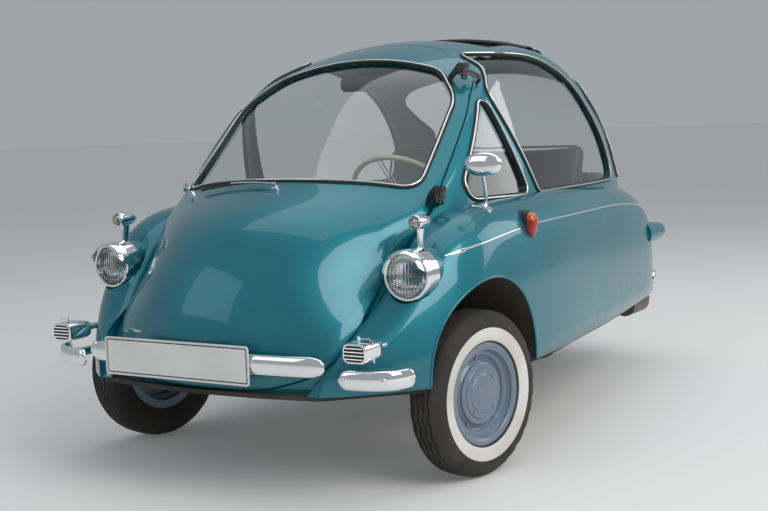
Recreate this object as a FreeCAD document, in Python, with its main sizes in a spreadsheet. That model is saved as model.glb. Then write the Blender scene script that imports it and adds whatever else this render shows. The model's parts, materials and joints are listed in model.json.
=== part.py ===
import FreeCAD, Part
import math
import os

import Sketcher

from FreeCAD import Placement, Rotation, Vector

# A small three-wheeled bubble car. Millimetres and degrees. The origin is on the ground, midway along
# and across the car. +Z is up, the nose points to -Y and the car's left side is +X.

doc = FreeCAD.newDocument("bubble_car")
sheet = doc.addObject("Spreadsheet::Sheet", "sizes")

# Driving dimensions: name, value, what it measures
SIZES = (
    ("front_axle_ahead", 745, "front axle ahead of the origin"),
    ("wheelbase", 1760, "front axle to rear axle"),
    ("front_track", 1220, "between the front tyres' middle planes"),
    ("tyre_diameter", 480, ""),
    ("tyre_width", 112, ""),
    ("bead_diameter", 254, "where the tyre sits on the rim"),
    ("rim_width", 90, "outside the two flanges"),
    ("flange_height", 21, "rim flange above the bead seat"),
    ("hubcap_diameter", 180, ""),
    ("spindle_radius", 18, "stub axle in each hub"),
    ("kingpin_inset", 62, "kingpin inboard of the tyre's middle plane"),
    ("kingpin_radius", 13, ""),
    ("steer_rest", 10.5, "how far the front wheels stand turned to the right"),
    ("steering_ratio", 8, "steering wheel turns for each turn of the road wheels"),
    ("running_gap", 0.05, "radial play of pins and shafts"),
    ("seat_gap", 0.3, "between pieces that lie on each other"),
    ("sill_height", 297, "lower edge of the body above the ground"),
    ("floor_thickness", 12, ""),
    ("wall", 25, "body and door walls"),
    ("door_gap", 5, "between the door and the body"),
    ("cheek_gap", 9, "beside the door, between it and the fenders"),
    ("arch_radius", 254, "front wheel arch"),
    ("arch_centre_height", 320, ""),
    ("housing_inner", 410, "front wheel housing, inboard side from the middle"),
    ("housing_wall", 20, ""),
    ("belt_height", 782, "lower edge of the side windows"),
    ("pane_depth", 9, "window panes below the outer skin"),
    ("pane_thickness", 5, ""),
    ("roof_opening_width", 640, ""),
    ("roof_opening_front", -34, ""),
    ("roof_opening_rear", 260, ""),
    ("folded_roof_rear", 555, "rear edge of the folded roof"),
    ("folded_roof_height", 10, "folded fabric above the roof"),
    ("folded_roof_recess", 14, "and below the roof's skin"),
    ("bulkhead_place", 620, "front face of the bulkhead behind the seat"),
    ("shelf_height", 690, "parcel shelf above the ground"),
    ("panel_thickness", 16, "bulkhead and parcel shelf"),
    ("bumper_height", 58, ""),
    ("bumper_thickness", 15, ""),
    ("bumper_middle", 381, "height of the middle bumper"),
    ("side_bumper_middle", 350, "height of the quarter bumpers"),
    ("rear_bumper_middle", 340, ""),
    ("plate_width", 520, ""),
    ("plate_height", 110, ""),
    ("plate_thickness", 3, ""),
    ("plate_offset", -59, "front plate to the car's right of the middle"),
    ("rear_plate_width", 300, ""),
    ("lamp_diameter", 146, "headlamp bezel"),
    ("lamp_side", 540, "headlamp from the middle"),
    ("lamp_height", 603, "headlamp above the ground"),
    ("lamp_face", -962, "front of the headlamp housing"),
    ("bezel_reach", 40, "headlamp bezel ahead of its housing"),
    ("visor_reach", 68, "headlamp visor ahead of its housing"),
    ("horn_side", 522, ""),
    ("horn_height", 428, ""),
    ("horn_width", 76, ""),
    ("horn_length", 96, ""),
    ("column_side", 200, "steering column from the middle"),
    ("column_tilt", 40, "steering column above the horizontal"),
    ("steering_wheel_diameter", 380, ""),
    ("steering_rim_radius", 9, ""),
    ("seat_width", 930, ""),
    ("seat_height", 540, "top of the cushion"),
    ("seat_depth", 440, ""),
    ("cushion_thickness", 110, ""),
    ("backrest_top", 960, ""),
    ("backrest_thickness", 90, ""),
    ("engine_length", 290, ""),
    ("engine_width", 236, ""),
    ("engine_height", 260, ""),
    ("tail_lamp_side", 466, ""),
    ("tail_lamp_height", 536, ""),
    ("pipe_radius", 16, "exhaust tail pipe"),
    ("pipe_end", 1292, "rear end of the tail pipe"),
)
for row, (name, value, note) in enumerate(SIZES, start=1):
    sheet.set("A%d" % row, name)
    sheet.set("B%d" % row, str(value))
    sheet.setAlias("B%d" % row, name)
doc.recompute()


def size(name):
    return float(sheet.get(name))


FRONT_AXLE = -size("front_axle_ahead")
REAR_AXLE = FRONT_AXLE + size("wheelbase")
WHEEL_RADIUS = size("tyre_diameter") / 2
KINGPIN = size("front_track") / 2 - size("kingpin_inset")
SILL = size("sill_height")
GAP = size("seat_gap")
PLAY = size("running_gap")
FAR = 2000.0

SIDES = (("left", 1), ("right", -1))
kept = []


# Small helpers for places, features and outlines

def feature(label, shape, place=None):
    """A piece whose shape is worked out from the sheet."""
    piece = doc.addObject("Part::Feature", label)
    piece.Label = label
    piece.Shape = shape
    piece.Placement = place or Placement()
    kept.append(piece)
    return piece


def primitive(kind, name, place, **bound):
    """A Part primitive whose sizes follow the sheet."""
    piece = doc.addObject("Part::" + kind, name)
    for prop, rule in bound.items():
        piece.setExpression(prop, rule)
    piece.Placement = place
    return piece


def joined(label, pieces):
    """Primitives joined into one kept piece."""
    piece = doc.addObject("Part::MultiFuse", label)
    piece.Label = label
    piece.Shapes = pieces
    kept.append(piece)
    return piece


def at(x, y, z, axis=None, angle=0.0):
    return Placement(Vector(x, y, z), Rotation(axis or Vector(0, 0, 1), angle))


def across(x, y, z):
    """A place whose own Z axis points along +X."""
    return at(x, y, z, Vector(0, 1, 0), 90)


def ahead(x, y, z):
    """A place whose own Z axis points along -Y."""
    return at(x, y, z, Vector(1, 0, 0), 90)


def mirrored(shape):
    return shape.mirror(Vector(0, 0, 0), Vector(1, 0, 0))


def pair(shape):
    """A left-hand shape and its right-hand twin."""
    return Part.makeCompound([shape, mirrored(shape)])


def roundedWire(corners, place):
    """A closed outline with a round at each corner; corners are (u, v, radius)."""
    count = len(corners)
    stops = []
    for i, (u, v, radius) in enumerate(corners):
        here = Vector(u, v, 0)
        before = Vector(*corners[i - 1][:2], 0) - here
        after = Vector(*corners[(i + 1) % count][:2], 0) - here
        before.normalize()
        after.normalize()
        half = before.getAngle(after) / 2
        reach = radius / math.tan(half)
        middle = before + after
        middle.normalize()
        nearest = here + middle * (radius / math.sin(half) - radius)
        stops.append((here + before * reach, nearest, here + after * reach))
    edges = []
    for i, (start, middle, end) in enumerate(stops):
        edges.append(Part.Arc(place(start.x, start.y), place(middle.x, middle.y), place(end.x, end.y)).toShape())
        following = stops[(i + 1) % count][0]
        if (following - end).Length > 0.01:
            edges.append(Part.makeLine(place(end.x, end.y), place(following.x, following.y)))
    return Part.Wire(edges)


def sideView(corners, reach=FAR, both=True):
    """An outline in the side view, as (y, z, radius), run across the car."""
    face = Part.Face(roundedWire(corners, lambda y, z: Vector(-reach if both else 0, y, z)))
    return face.extrude(Vector(2 * reach if both else reach, 0, 0))


def grown(corners, step):
    """A convex outline with its straight sides moved outwards by step."""
    count = len(corners)
    area = sum(corners[i - 1][0] * corners[i][1] - corners[i][0] * corners[i - 1][1] for i in range(count))
    turn = 1 if area > 0 else -1
    lines = []
    for i in range(count):
        (u0, v0, _), (u1, v1, _) = corners[i], corners[(i + 1) % count]
        run = math.hypot(u1 - u0, v1 - v0)
        lines.append((u0 + step * turn * (v1 - v0) / run, v0 - step * turn * (u1 - u0) / run, u1 - u0, v1 - v0))
    moved = []
    for i in range(count):
        (pu, pv, pdu, pdv), (qu, qv, qdu, qdv) = lines[i - 1], lines[i]
        along = ((qu - pu) * qdv - (qv - pv) * qdu) / (pdu * qdv - pdv * qdu)
        moved.append((pu + along * pdu, pv + along * pdv, max(corners[i][2] + step, 1.0)))
    return moved


# The body's skins. Each section is an arch: a base, upright sides that lean in along a large arc, a
# shoulder and a crown.

def archPoints(half_width, base, waist, side_radius, shoulder, crown_radius, crown):
    """The right half of an arch, from the base's end to the middle of the crown."""
    side = (half_width - side_radius, waist)
    top = (0.0, crown - crown_radius)
    from_side = side_radius - shoulder
    from_top = crown_radius - shoulder
    dx, dy = side[0] - top[0], side[1] - top[1]
    gap = math.hypot(dx, dy)
    along = (from_top ** 2 - from_side ** 2 + gap ** 2) / (2 * gap)
    off = math.sqrt(from_top ** 2 - along ** 2)
    centres = [(top[0] + (along * dx - turn * off * dy) / gap, top[1] + (along * dy + turn * off * dx) / gap)
               for turn in (1, -1)]
    centre = max(centres, key=sum)

    def onCircle(middle, radius, point):
        reach = math.hypot(point[0] - middle[0], point[1] - middle[1])
        return tuple(m + (p - m) * radius / reach for m, p in zip(middle, point))

    low = onCircle(side, side_radius, centre)
    high = onCircle(top, crown_radius, centre)
    shoulder_middle = onCircle(centre, shoulder, ((low[0] + high[0]) / 2, (low[1] + high[1]) / 2))
    side_middle = onCircle(side, side_radius, ((half_width + low[0]) / 2, (waist + low[1]) / 2))
    crown_middle = onCircle(top, crown_radius, (high[0] / 2, (high[1] + crown) / 2))
    return [(half_width, base), (half_width, waist), side_middle, low, shoulder_middle, high,
            crown_middle, (0.0, crown)]


def archWire(points, place):
    """An arch of lines and arcs."""
    right = [place(u, v) for u, v in points]
    left = [place(-u, v) for u, v in points]
    top = right[7]
    return Part.Wire([
        Part.makeLine(left[0], right[0]),
        Part.makeLine(right[0], right[1]),
        Part.Arc(right[1], right[2], right[3]).toShape(),
        Part.Arc(right[3], right[4], right[5]).toShape(),
        Part.Arc(right[5], top, left[5]).toShape(),
        Part.Arc(left[5], left[4], left[3]).toShape(),
        Part.Arc(left[3], left[2], left[1]).toShape(),
        Part.makeLine(left[1], left[0]),
    ])


def archPolygon(points, place):
    """The same arch in straight runs, for what lies under the skin."""
    around = [place(u, v) for u, v in points] + [place(-u, v) for u, v in reversed(points[:-1])]
    return Part.makePolygon(around + around[:1])


# The cabin is a fan of arches about a line across the car. Columns: angle up from the nose, crown,
# crown radius, half width, waist, side radius, shoulder radius; the heights are measured from the line.
FAN_HEIGHT = 290
FAN_BASE = 140
CABIN = (
    (-6, 1210, 1300, 500, 600, 1400, 150),
    (9, 1264, 620, 527, 560, 1400, 150),
    (21, 1196, 520, 524, 460, 1400, 150),
    (34, 1014, 1000, 566, 440, 1450, 160),
    (48, 958, 1230, 580, 370, 1550, 140),
    (66, 985, 1330, 574, 300, 1650, 125),
    (90, 1017, 1300, 562, 270, 1700, 120),
    (115, 1078, 1200, 552, 300, 1700, 125),
    (136, 1132, 1080, 542, 370, 1600, 140),
    (156, 1184, 920, 514, 480, 1400, 165),
    (182, 1252, 900, 440, 600, 1200, 200),
)


def fanPlace(angle):
    lean = math.radians(angle)
    return lambda u, v: Vector(u, -math.cos(lean) * v, FAN_HEIGHT + math.sin(lean) * v)


def cabinRows(spacing):
    """The cabin's table with rows filled in, at most spacing degrees apart."""
    rows = []
    last = len(CABIN) - 1
    for i in range(last):
        start, end = CABIN[i], CABIN[i + 1]
        before, after = CABIN[max(i - 1, 0)], CABIN[min(i + 2, last)]
        step = end[0] - start[0]
        parts = math.ceil(step / spacing)
        for k in range(parts):
            t = k / parts
            row = [start[0] + t * step]
            for column in range(1, 7):
                leave = (end[column] - before[column]) / (end[0] - before[0]) * step
                arrive = (after[column] - start[column]) / (after[0] - start[0]) * step
                row.append((2 * t ** 3 - 3 * t ** 2 + 1) * start[column] + (t ** 3 - 2 * t ** 2 + t) * leave
                           + (3 * t ** 2 - 2 * t ** 3) * end[column] + (t ** 3 - t ** 2) * arrive)
            rows.append(tuple(row))
    return rows + [CABIN[-1]]


def cabinSkin(inset=0.0, plain=False, base=FAN_BASE):
    """The cabin's form, moved in by inset."""
    wires = []
    for angle, crown, crown_radius, half_width, waist, side_radius, shoulder in cabinRows(13) if plain else CABIN:
        points = archPoints(half_width - inset, base, waist, side_radius - inset,
                            max(shoulder - inset, 5), crown_radius - inset, crown - inset)
        wires.append((archPolygon if plain else archWire)(points, fanPlace(angle)))
    return Part.makeLoft(wires, True, plain, False, 3)


# Each fender is a row of arches along the car. Columns: place, outer half width, half width of the
# fender itself, crown, crown radius, waist, side radius, shoulder radius.
FENDER = (
    (-1228, 388, 20, 338, 45, 308, 250, 14),
    (-1165, 468, 46, 402, 110, 325, 400, 34),
    (-1080, 545, 72, 472, 200, 335, 450, 52),
    (-980, 622, 104, 570, 260, 350, 500, 64),
    (-860, 670, 128, 694, 420, 420, 620, 82),
    (-700, 685, 150, 760, 900, 480, 800, 112),
    (-300, 680, 180, 782, 2500, 520, 900, 120),
    (200, 626, 180, 784, 2500, 500, 900, 120),
    (700, 556, 180, 762, 2500, 470, 900, 120),
    (1050, 492, 205, 688, 2000, 430, 900, 110),
    (1200, 434, 200, 590, 1500, 395, 900, 100),
    (1260, 360, 165, 470, 900, 360, 900, 80),
)


def fenderSkin():
    """The left fender's form, from the front lip to the tail."""
    wires = []
    for y, outer, half, crown, crown_radius, waist, side_radius, shoulder in FENDER:
        middle = outer - half
        points = archPoints(half, SILL, waist, side_radius, shoulder, crown_radius, crown)
        wires.append(archWire(points, lambda u, v: Vector(middle + u, y, v)))
    return Part.makeLoft(wires, True, False, False, 3)


def wheelArch(radius, inner, outer):
    """The room round the left front wheel, open below."""
    middle = size("arch_centre_height")
    top = Part.makeCylinder(radius, outer - inner, Vector(inner, FRONT_AXLE, middle), Vector(1, 0, 0))
    below = Part.makeBox(outer - inner, 2 * radius, middle, Vector(inner, FRONT_AXLE - radius, 0))
    return top.fuse(below)


# The door's rear edge in the side view, and the width of its opening in the front view
SEAM_FOOT = (-1236, 290)
SEAM_BEND = (-407, 1096)
SEAM_ROOF = (-262, 1200)
SEAM_TOP = (-78, 1330)
# Columns: half width of the door opening, height
DOOR_CHEEK = ((384, 250), (384, 300), (425, 430), (428, 600), (466, 700), (482, 790), (700, 880), (700, 1500))


def doorRegion(step):
    """All that lies ahead of the door's rear edge; step moves the edge towards the body."""
    shift = Vector(0, step * 0.7, -step * 0.7)
    foot, bend, roof, top = (Vector(-FAR, *point) + shift for point in (SEAM_FOOT, SEAM_BEND, SEAM_ROOF, SEAM_TOP))
    high = Vector(-FAR, -FAR, top.z)
    low = Vector(-FAR, -FAR, foot.z)
    edges = [Part.makeLine(foot, bend), Part.Arc(bend, roof, top).toShape(), Part.makeLine(top, high),
             Part.makeLine(high, low), Part.makeLine(low, foot)]
    return Part.Face(Part.Wire(edges)).extrude(Vector(2 * FAR, 0, 0))


def doorCheek(step):
    """The door opening as seen from the front."""
    right = [Vector(x + step, -FAR, z) for x, z in DOOR_CHEEK]
    left = [Vector(-p.x, p.y, p.z) for p in reversed(right)]
    outline = Part.makePolygon(right + left + right[:1])
    return Part.Face(outline).extrude(Vector(0, FAR + 200, 0))


# Window outlines. Side view corners are (y, z, radius); the windscreen's are (x, along its slope, radius).
BELT = size("belt_height")
SIDE_WINDOW = ((-172, BELT, 30), (652, BELT, 55), (640, 915, 220), (455, 1144, 600), (90, 1232, 900),
               (-205, 1236, 60), (-345, 1100, 50))
VENT_WINDOW = ((-655, BELT + 2, 42), (-246, BELT - 2, 26), (-378, 1100, 26))
REAR_WINDOW = ((835, BELT, 46), (1500, BELT, 10), (1500, 1500, 10), (640, 1400, 10), (545, 1120, 90), (812, 965, 120))
SCREEN_SLOPE = 35
WINDSCREEN = ((0, -222, 1100), (430, -130, 62), (408, 260, 150), (300, 400, 120), (0, 452, 1200),
              (-300, 400, 120), (-408, 260, 150), (-430, -130, 62))


def screenOutline(step):
    """The windscreen's outline, run through the door along its own normal."""
    lean = math.radians(SCREEN_SLOPE)
    slope = Vector(0, math.cos(lean), math.sin(lean))
    normal = Vector(0, -math.sin(lean), math.cos(lean))
    shape = [(u + step * ((u > 1) - (u < -1)), v + math.copysign(1, v) * step, r) for u, v, r in WINDSCREEN]
    wire = roundedWire(shape, lambda u, v: Vector(u, 0, 0) + slope * v + normal * 600)
    return Part.Face(wire).extrude(normal * 1200)


# Body shell, door and panes
skin = cabinSkin()
fender = fenderSkin()

lamp_housing = Part.makeCylinder(size("lamp_diameter") / 2 - 4, 150,
                                 Vector(size("lamp_side"), size("lamp_face"), size("lamp_height")), Vector(0, 1, 0))
tail_pod = Part.makeCone(52, 34, 190, Vector(size("tail_lamp_side") - 8, 1010, size("tail_lamp_height")),
                         Vector(0.04, 1, 0))
right_half = Part.makeBox(FAR, 2 * FAR, 2 * FAR, Vector(-FAR, -FAR, SILL))
outside = skin.fuse(mirrored(fender)).fuse([mirrored(lamp_housing), mirrored(tail_pod)]).common(right_half)

hollow = cabinSkin(size("wall"), plain=True)
hub_room = Part.makeBox(1050, 420, 330, Vector(-525, -210, 150))
housing = wheelArch(size("arch_radius") + size("housing_wall"), size("housing_inner") - size("housing_wall"), FAR)
room = hollow.fuse(hub_room).common(right_half).cut(mirrored(housing))

arch = wheelArch(size("arch_radius"), size("housing_inner"), FAR)
roof_opening = Part.makeBox(size("roof_opening_width"), size("roof_opening_rear") - size("roof_opening_front"), 400,
                            Vector(-size("roof_opening_width") / 2, size("roof_opening_front"), 1120))
door_opening = doorRegion(size("door_gap")).common(doorCheek(size("cheek_gap")))
wheel_slot = Part.makeCylinder(WHEEL_RADIUS + 22, 180, Vector(-90, REAR_AXLE, WHEEL_RADIUS), Vector(1, 0, 0))
fold_width = size("roof_opening_width") + 20
fold_box = Part.makeBox(fold_width, size("folded_roof_rear") - size("roof_opening_rear") + 30, 600,
                        Vector(-fold_width / 2, size("roof_opening_rear") - 30, 1000))
fold = cabinSkin(-size("folded_roof_height"), plain=True).common(fold_box)
fold = fold.cut(cabinSkin(size("folded_roof_recess"), plain=True))
lamp_front = Part.makeCylinder(size("lamp_diameter") / 2 + 2, 90,
                               Vector(-size("lamp_side"), size("lamp_face"), size("lamp_height")), Vector(0, -1, 0))
shell = outside
for opening in (door_opening, room, fold, lamp_front, mirrored(arch), roof_opening, wheel_slot, sideView(SIDE_WINDOW),
                sideView(VENT_WINDOW), sideView(REAR_WINDOW)):
    shell = shell.cut(opening)
shell = shell.fuse(mirrored(shell))
feature("body_shell", shell)

door_floor = Part.makeBox(2 * FAR, 2 * FAR, FAR, Vector(-FAR, -FAR, SILL + size("door_gap") - FAR))
door = skin.common(doorRegion(0)).common(doorCheek(0)).cut([hollow, door_floor, screenOutline(0)])
feature("front_door", door)

pane_skin = cabinSkin(size("pane_depth"), plain=True)
pane_core = cabinSkin(size("pane_depth") + size("pane_thickness"), plain=True)
pane_stock = pane_skin.cut(pane_core)


def largest(shape):
    return max(shape.Solids, key=lambda solid: solid.Volume)


def left(shape):
    return shape.common(Part.makeBox(FAR, 2 * FAR, 2 * FAR, Vector(0, -FAR, 0)))


def panePair(outline):
    pane = left(pane_stock.common(sideView(grown(outline, -GAP))))
    return pair(pane)


feature("side_windows", panePair(SIDE_WINDOW))
feature("vent_windows", panePair(VENT_WINDOW))
feature("rear_window", pane_stock.common(sideView(grown(REAR_WINDOW, -GAP))))
feature("windscreen", pane_stock.common(screenOutline(-GAP)))

# Floor, bulkhead and shelf
half_floor = ((0, -1254), (200, -1244), (384, -1214), (498, -1098), (596, -999), (408, -999), (408, -489),
              (668, -489), (664, -300), (610, 200), (556, 620), (0, 620))
outline = [Vector(x, y, SILL - size("floor_thickness")) for x, y in half_floor]
outline += [Vector(-p.x, p.y, p.z) for p in reversed(outline[1:-1])]
floor = Part.Face(Part.makePolygon(outline + outline[:1])).extrude(Vector(0, 0, size("floor_thickness")))
jack_pads = [Part.makeBox(70, 70, 8, Vector(x - 35, -235, SILL - size("floor_thickness") - 8)) for x in (-500, 500)]
feature("floor_pan", floor.fuse(jack_pads))

inside = cabinSkin(size("wall") + GAP, plain=True)
bulkhead = Part.makeBox(2 * FAR, size("panel_thickness"), size("shelf_height") - SILL,
                        Vector(-FAR, size("bulkhead_place"), SILL))
feature("bulkhead", bulkhead.common(inside))
shelf = Part.makeBox(2 * FAR, FAR, size("panel_thickness"), Vector(-FAR, size("bulkhead_place"), size("shelf_height")))
feature("parcel_shelf", shelf.common(inside))

feature("folded_roof", fold)


# Wheels: the tyre and the rim are turned about the axle

def turned(label, profile, place):
    """A PartDesign body turned from a closed profile of (along the axle, radius) rules."""
    body = doc.addObject("PartDesign::Body", label)
    body.Label = label
    sketch = body.newObject("Sketcher::SketchObject", label + "_profile")
    plane = next(f for f in body.Origin.OriginFeatures if f.Role == "XY_Plane")
    sketch.AttachmentSupport = [(plane, "")]
    sketch.MapMode = "FlatFace"
    count = len(profile)
    ring = [Vector(100 * math.cos(math.tau * i / count), 200 + 100 * math.sin(math.tau * i / count), 0)
            for i in range(count)]
    for i in range(count):
        sketch.addGeometry(Part.LineSegment(ring[i], ring[(i + 1) % count]))
    for i in range(count):
        sketch.addConstraint(Sketcher.Constraint("Coincident", i, 2, (i + 1) % count, 1))
    for i, rules in enumerate(profile):
        for kind, rule, start in zip(("DistanceX", "DistanceY"), rules, ring[i]):
            index = sketch.addConstraint(Sketcher.Constraint(kind, -1, 1, i, 1, start))
            sketch.setExpression("Constraints[%d]" % index, rule)
    doc.recompute()
    turn = body.newObject("PartDesign::Revolution", label + "_turned")
    turn.Profile = sketch
    axis = next(f for f in body.Origin.OriginFeatures if f.Role == "X_Axis")
    turn.ReferenceAxis = (axis, [""])
    turn.Angle = 360
    body.Tip = turn
    body.Placement = place
    kept.append(body)
    return body


# Front axle, knuckles, swing arm and steering

SPINDLE_END = 28
BOSS_RADIUS = 24
BOSS_HALF = 28


def knuckle(name, place):
    """Kingpin, lugs and stub axle; the wheel stands towards its own +X."""
    inset = size("kingpin_inset")
    pin = primitive("Cylinder", name + "_pin", at(0, 0, -46), Radius="sizes.kingpin_radius", Height="92")
    stub = primitive("Cylinder", name + "_stub", across(inset - 34, 0, 0), Radius="sizes.spindle_radius",
                     Height="%g" % (34 + SPINDLE_END))
    collar = primitive("Cylinder", name + "_collar", across(inset - 36, 0, 0), Radius="sizes.spindle_radius + 14",
                       Height="%g" % (36 - 22 - GAP))
    web = primitive("Box", name + "_web", at(inset - 36, -24, -44), Length="11", Width="48", Height="88")
    lugs = [primitive("Box", name + "_" + end, at(-20, -20, z), Length="%g" % (inset - 14), Width="40",
                      Height="14")
            for end, z in (("upper", BOSS_HALF + 2), ("lower", -BOSS_HALF - 16))]
    piece = joined(name, [pin, stub, collar, web] + lugs)
    piece.Placement = place
    return piece


TYRE_PROFILE = (
    ("-sizes.rim_width / 2 + 4.3", "sizes.bead_diameter / 2 + sizes.seat_gap"),
    ("-sizes.rim_width / 2 + 4.3", "sizes.bead_diameter / 2 + sizes.flange_height"),
    ("-sizes.tyre_width / 2 + 5", "sizes.tyre_diameter / 2 - 71"),
    ("-sizes.tyre_width / 2", "sizes.tyre_diameter / 2 - 48"),
    ("-sizes.tyre_width / 2 + 3", "sizes.tyre_diameter / 2 - 25"),
    ("-sizes.tyre_width / 2 + 14", "sizes.tyre_diameter / 2 - 8"),
    ("-sizes.tyre_width / 2 + 34", "sizes.tyre_diameter / 2"),
    ("sizes.tyre_width / 2 - 34", "sizes.tyre_diameter / 2"),
    ("sizes.tyre_width / 2 - 14", "sizes.tyre_diameter / 2 - 8"),
    ("sizes.tyre_width / 2 - 3", "sizes.tyre_diameter / 2 - 25"),
    ("sizes.tyre_width / 2", "sizes.tyre_diameter / 2 - 48"),
    ("sizes.tyre_width / 2 - 5", "sizes.tyre_diameter / 2 - 71"),
    ("sizes.rim_width / 2 - 4.3", "sizes.bead_diameter / 2 + sizes.flange_height"),
    ("sizes.rim_width / 2 - 4.3", "sizes.bead_diameter / 2 + sizes.seat_gap"),
)
RIM_PROFILE = (
    ("-sizes.rim_width / 2", "sizes.bead_diameter / 2 + sizes.flange_height"),
    ("-sizes.rim_width / 2 + 4", "sizes.bead_diameter / 2 + sizes.flange_height"),
    ("-sizes.rim_width / 2 + 4", "sizes.bead_diameter / 2"),
    ("-20", "sizes.bead_diameter / 2"),
    ("-14", "sizes.bead_diameter / 2 - 15"),
    ("14", "sizes.bead_diameter / 2 - 15"),
    ("20", "sizes.bead_diameter / 2"),
    ("sizes.rim_width / 2 - 4", "sizes.bead_diameter / 2"),
    ("sizes.rim_width / 2 - 4", "sizes.bead_diameter / 2 + sizes.flange_height"),
    ("sizes.rim_width / 2", "sizes.bead_diameter / 2 + sizes.flange_height"),
    ("sizes.rim_width / 2", "sizes.bead_diameter / 2 - 5"),
    ("24", "sizes.bead_diameter / 2 - 5"),
    ("18", "sizes.bead_diameter / 2 - 20"),
    ("22", "sizes.hubcap_diameter / 2"),
    ("31", "sizes.hubcap_diameter / 2 - 4"),
    ("36", "sizes.hubcap_diameter / 2 - 24"),
    ("38", "0"),
    ("31", "0"),
    ("31", "sizes.spindle_radius + sizes.running_gap"),
    ("-22", "sizes.spindle_radius + sizes.running_gap"),
    ("-22", "sizes.spindle_radius + 12"),
    ("6", "sizes.spindle_radius + 16"),
    ("10", "sizes.hubcap_diameter / 2"),
    ("4", "sizes.bead_diameter / 2 - 20"),
    ("-18", "sizes.bead_diameter / 2 - 20"),
    ("-24", "sizes.bead_diameter / 2 - 5"),
    ("-sizes.rim_width / 2", "sizes.bead_diameter / 2 - 5"),
)

hub_height = size("tyre_diameter") / 2
for name, side in SIDES:
    heading = Rotation(Vector(0, 0, 1), (0 if side > 0 else 180) - size("steer_rest"))
    kingpin = Vector(side * KINGPIN, FRONT_AXLE, hub_height)
    knuckle("knuckle_" + name, Placement(kingpin, heading))
    hub = kingpin + heading.multVec(Vector(size("kingpin_inset"), 0, 0))
    turned("tyre_front_" + name, TYRE_PROFILE, Placement(hub, heading))
    turned("rim_front_" + name, RIM_PROFILE, Placement(hub, heading))
turned("tyre_rear", TYRE_PROFILE, at(0, REAR_AXLE, hub_height))
turned("rim_rear", RIM_PROFILE, at(0, REAR_AXLE, hub_height))

beam = Part.makeCylinder(20, 2 * KINGPIN, Vector(-KINGPIN, FRONT_AXLE, hub_height), Vector(1, 0, 0))
axle = []
for name, side in SIDES:
    place = Vector(side * KINGPIN, FRONT_AXLE, hub_height - BOSS_HALF)
    axle.append(Part.makeCylinder(BOSS_RADIUS, 2 * BOSS_HALF, place))
    top = SILL - size("floor_thickness")
    axle.append(Part.makeBox(50, 90, top - hub_height, Vector(side * 230 - 25, FRONT_AXLE - 45, hub_height)))
bores = [Part.makeCylinder(size("kingpin_radius") + PLAY, 200, Vector(side * KINGPIN, FRONT_AXLE, hub_height - 100))
         for name, side in SIDES]
feature("front_axle", beam.fuse(axle).cut(bores))

ARM_SIDE = -102
pivot = Vector(0, REAR_AXLE - 315, SILL + 8)
hub = Vector(0, REAR_AXLE, hub_height)
arm_face = [Vector(ARM_SIDE, pivot.y - 20, pivot.z - 16), Vector(ARM_SIDE, hub.y + 10, hub.z - 24),
            Vector(ARM_SIDE, hub.y + 30, hub.z), Vector(ARM_SIDE, hub.y + 10, hub.z + 24),
            Vector(ARM_SIDE, pivot.y - 20, pivot.z + 18)]
arm = Part.Face(Part.makePolygon(arm_face + arm_face[:1])).extrude(Vector(30, 0, 0))
spindle = Part.makeCylinder(size("spindle_radius"), SPINDLE_END - ARM_SIDE, Vector(ARM_SIDE, hub.y, hub.z),
                            Vector(1, 0, 0))
arm_collar = Part.makeCylinder(size("spindle_radius") + 14, -22 - GAP - ARM_SIDE, Vector(ARM_SIDE, hub.y, hub.z),
                               Vector(1, 0, 0))
cross_tube = Part.makeCylinder(18, 420, Vector(-210, pivot.y, pivot.z), Vector(1, 0, 0))
wall_face = size("bulkhead_place") + size("panel_thickness")
pivot_feet = [Part.makeBox(18, pivot.y - wall_face, 40, Vector(x, wall_face, pivot.z - 16)) for x in (-198, 180)]
feature("rear_swing_arm", arm.fuse([spindle, arm_collar, cross_tube] + pivot_feet))

engine = primitive("Box", "engine_case", at(-345, pivot.y - 42, pivot.z + 38), Length="sizes.engine_width",
                   Width="sizes.engine_length", Height="sizes.engine_height")
engine_foot = primitive("Box", "engine_foot", at(-180, pivot.y - 12, pivot.z + 18), Length="60", Width="24",
                        Height="24")
joined("engine_block", [engine, engine_foot])
doc.recompute()


def tube(points, radius):
    """A round bar along straight runs, with a ball at each bend."""
    pieces = []
    for start, end in zip(points, points[1:]):
        pieces.append(Part.makeCylinder(radius, (end - start).Length, start, end - start))
    balls = [Part.makeSphere(radius, point) for point in points[1:-1]]
    return pieces[0].fuse(pieces[1:] + balls) if len(pieces) > 1 else pieces[0]


pipe_side = 385
pipe_ahead = pivot.y + 45
front_pipe = tube([Vector(-160, pipe_ahead, 350), Vector(-160, pipe_ahead, 254), Vector(pipe_side, pipe_ahead, 254),
                   Vector(pipe_side, REAR_AXLE, 240)], size("pipe_radius"))
silencer = Part.makeCylinder(46, 170, Vector(pipe_side, REAR_AXLE, 240), Vector(0, 1, 0))
pipe_length = size("pipe_end") - REAR_AXLE - 180
tail_pipe = Part.makeCylinder(size("pipe_radius"), pipe_length, Vector(pipe_side, REAR_AXLE + 160, 240),
                              Vector(0, 1, 0))
feature("exhaust", front_pipe.fuse([silencer, tail_pipe]).cut(engine.Shape))

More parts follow.
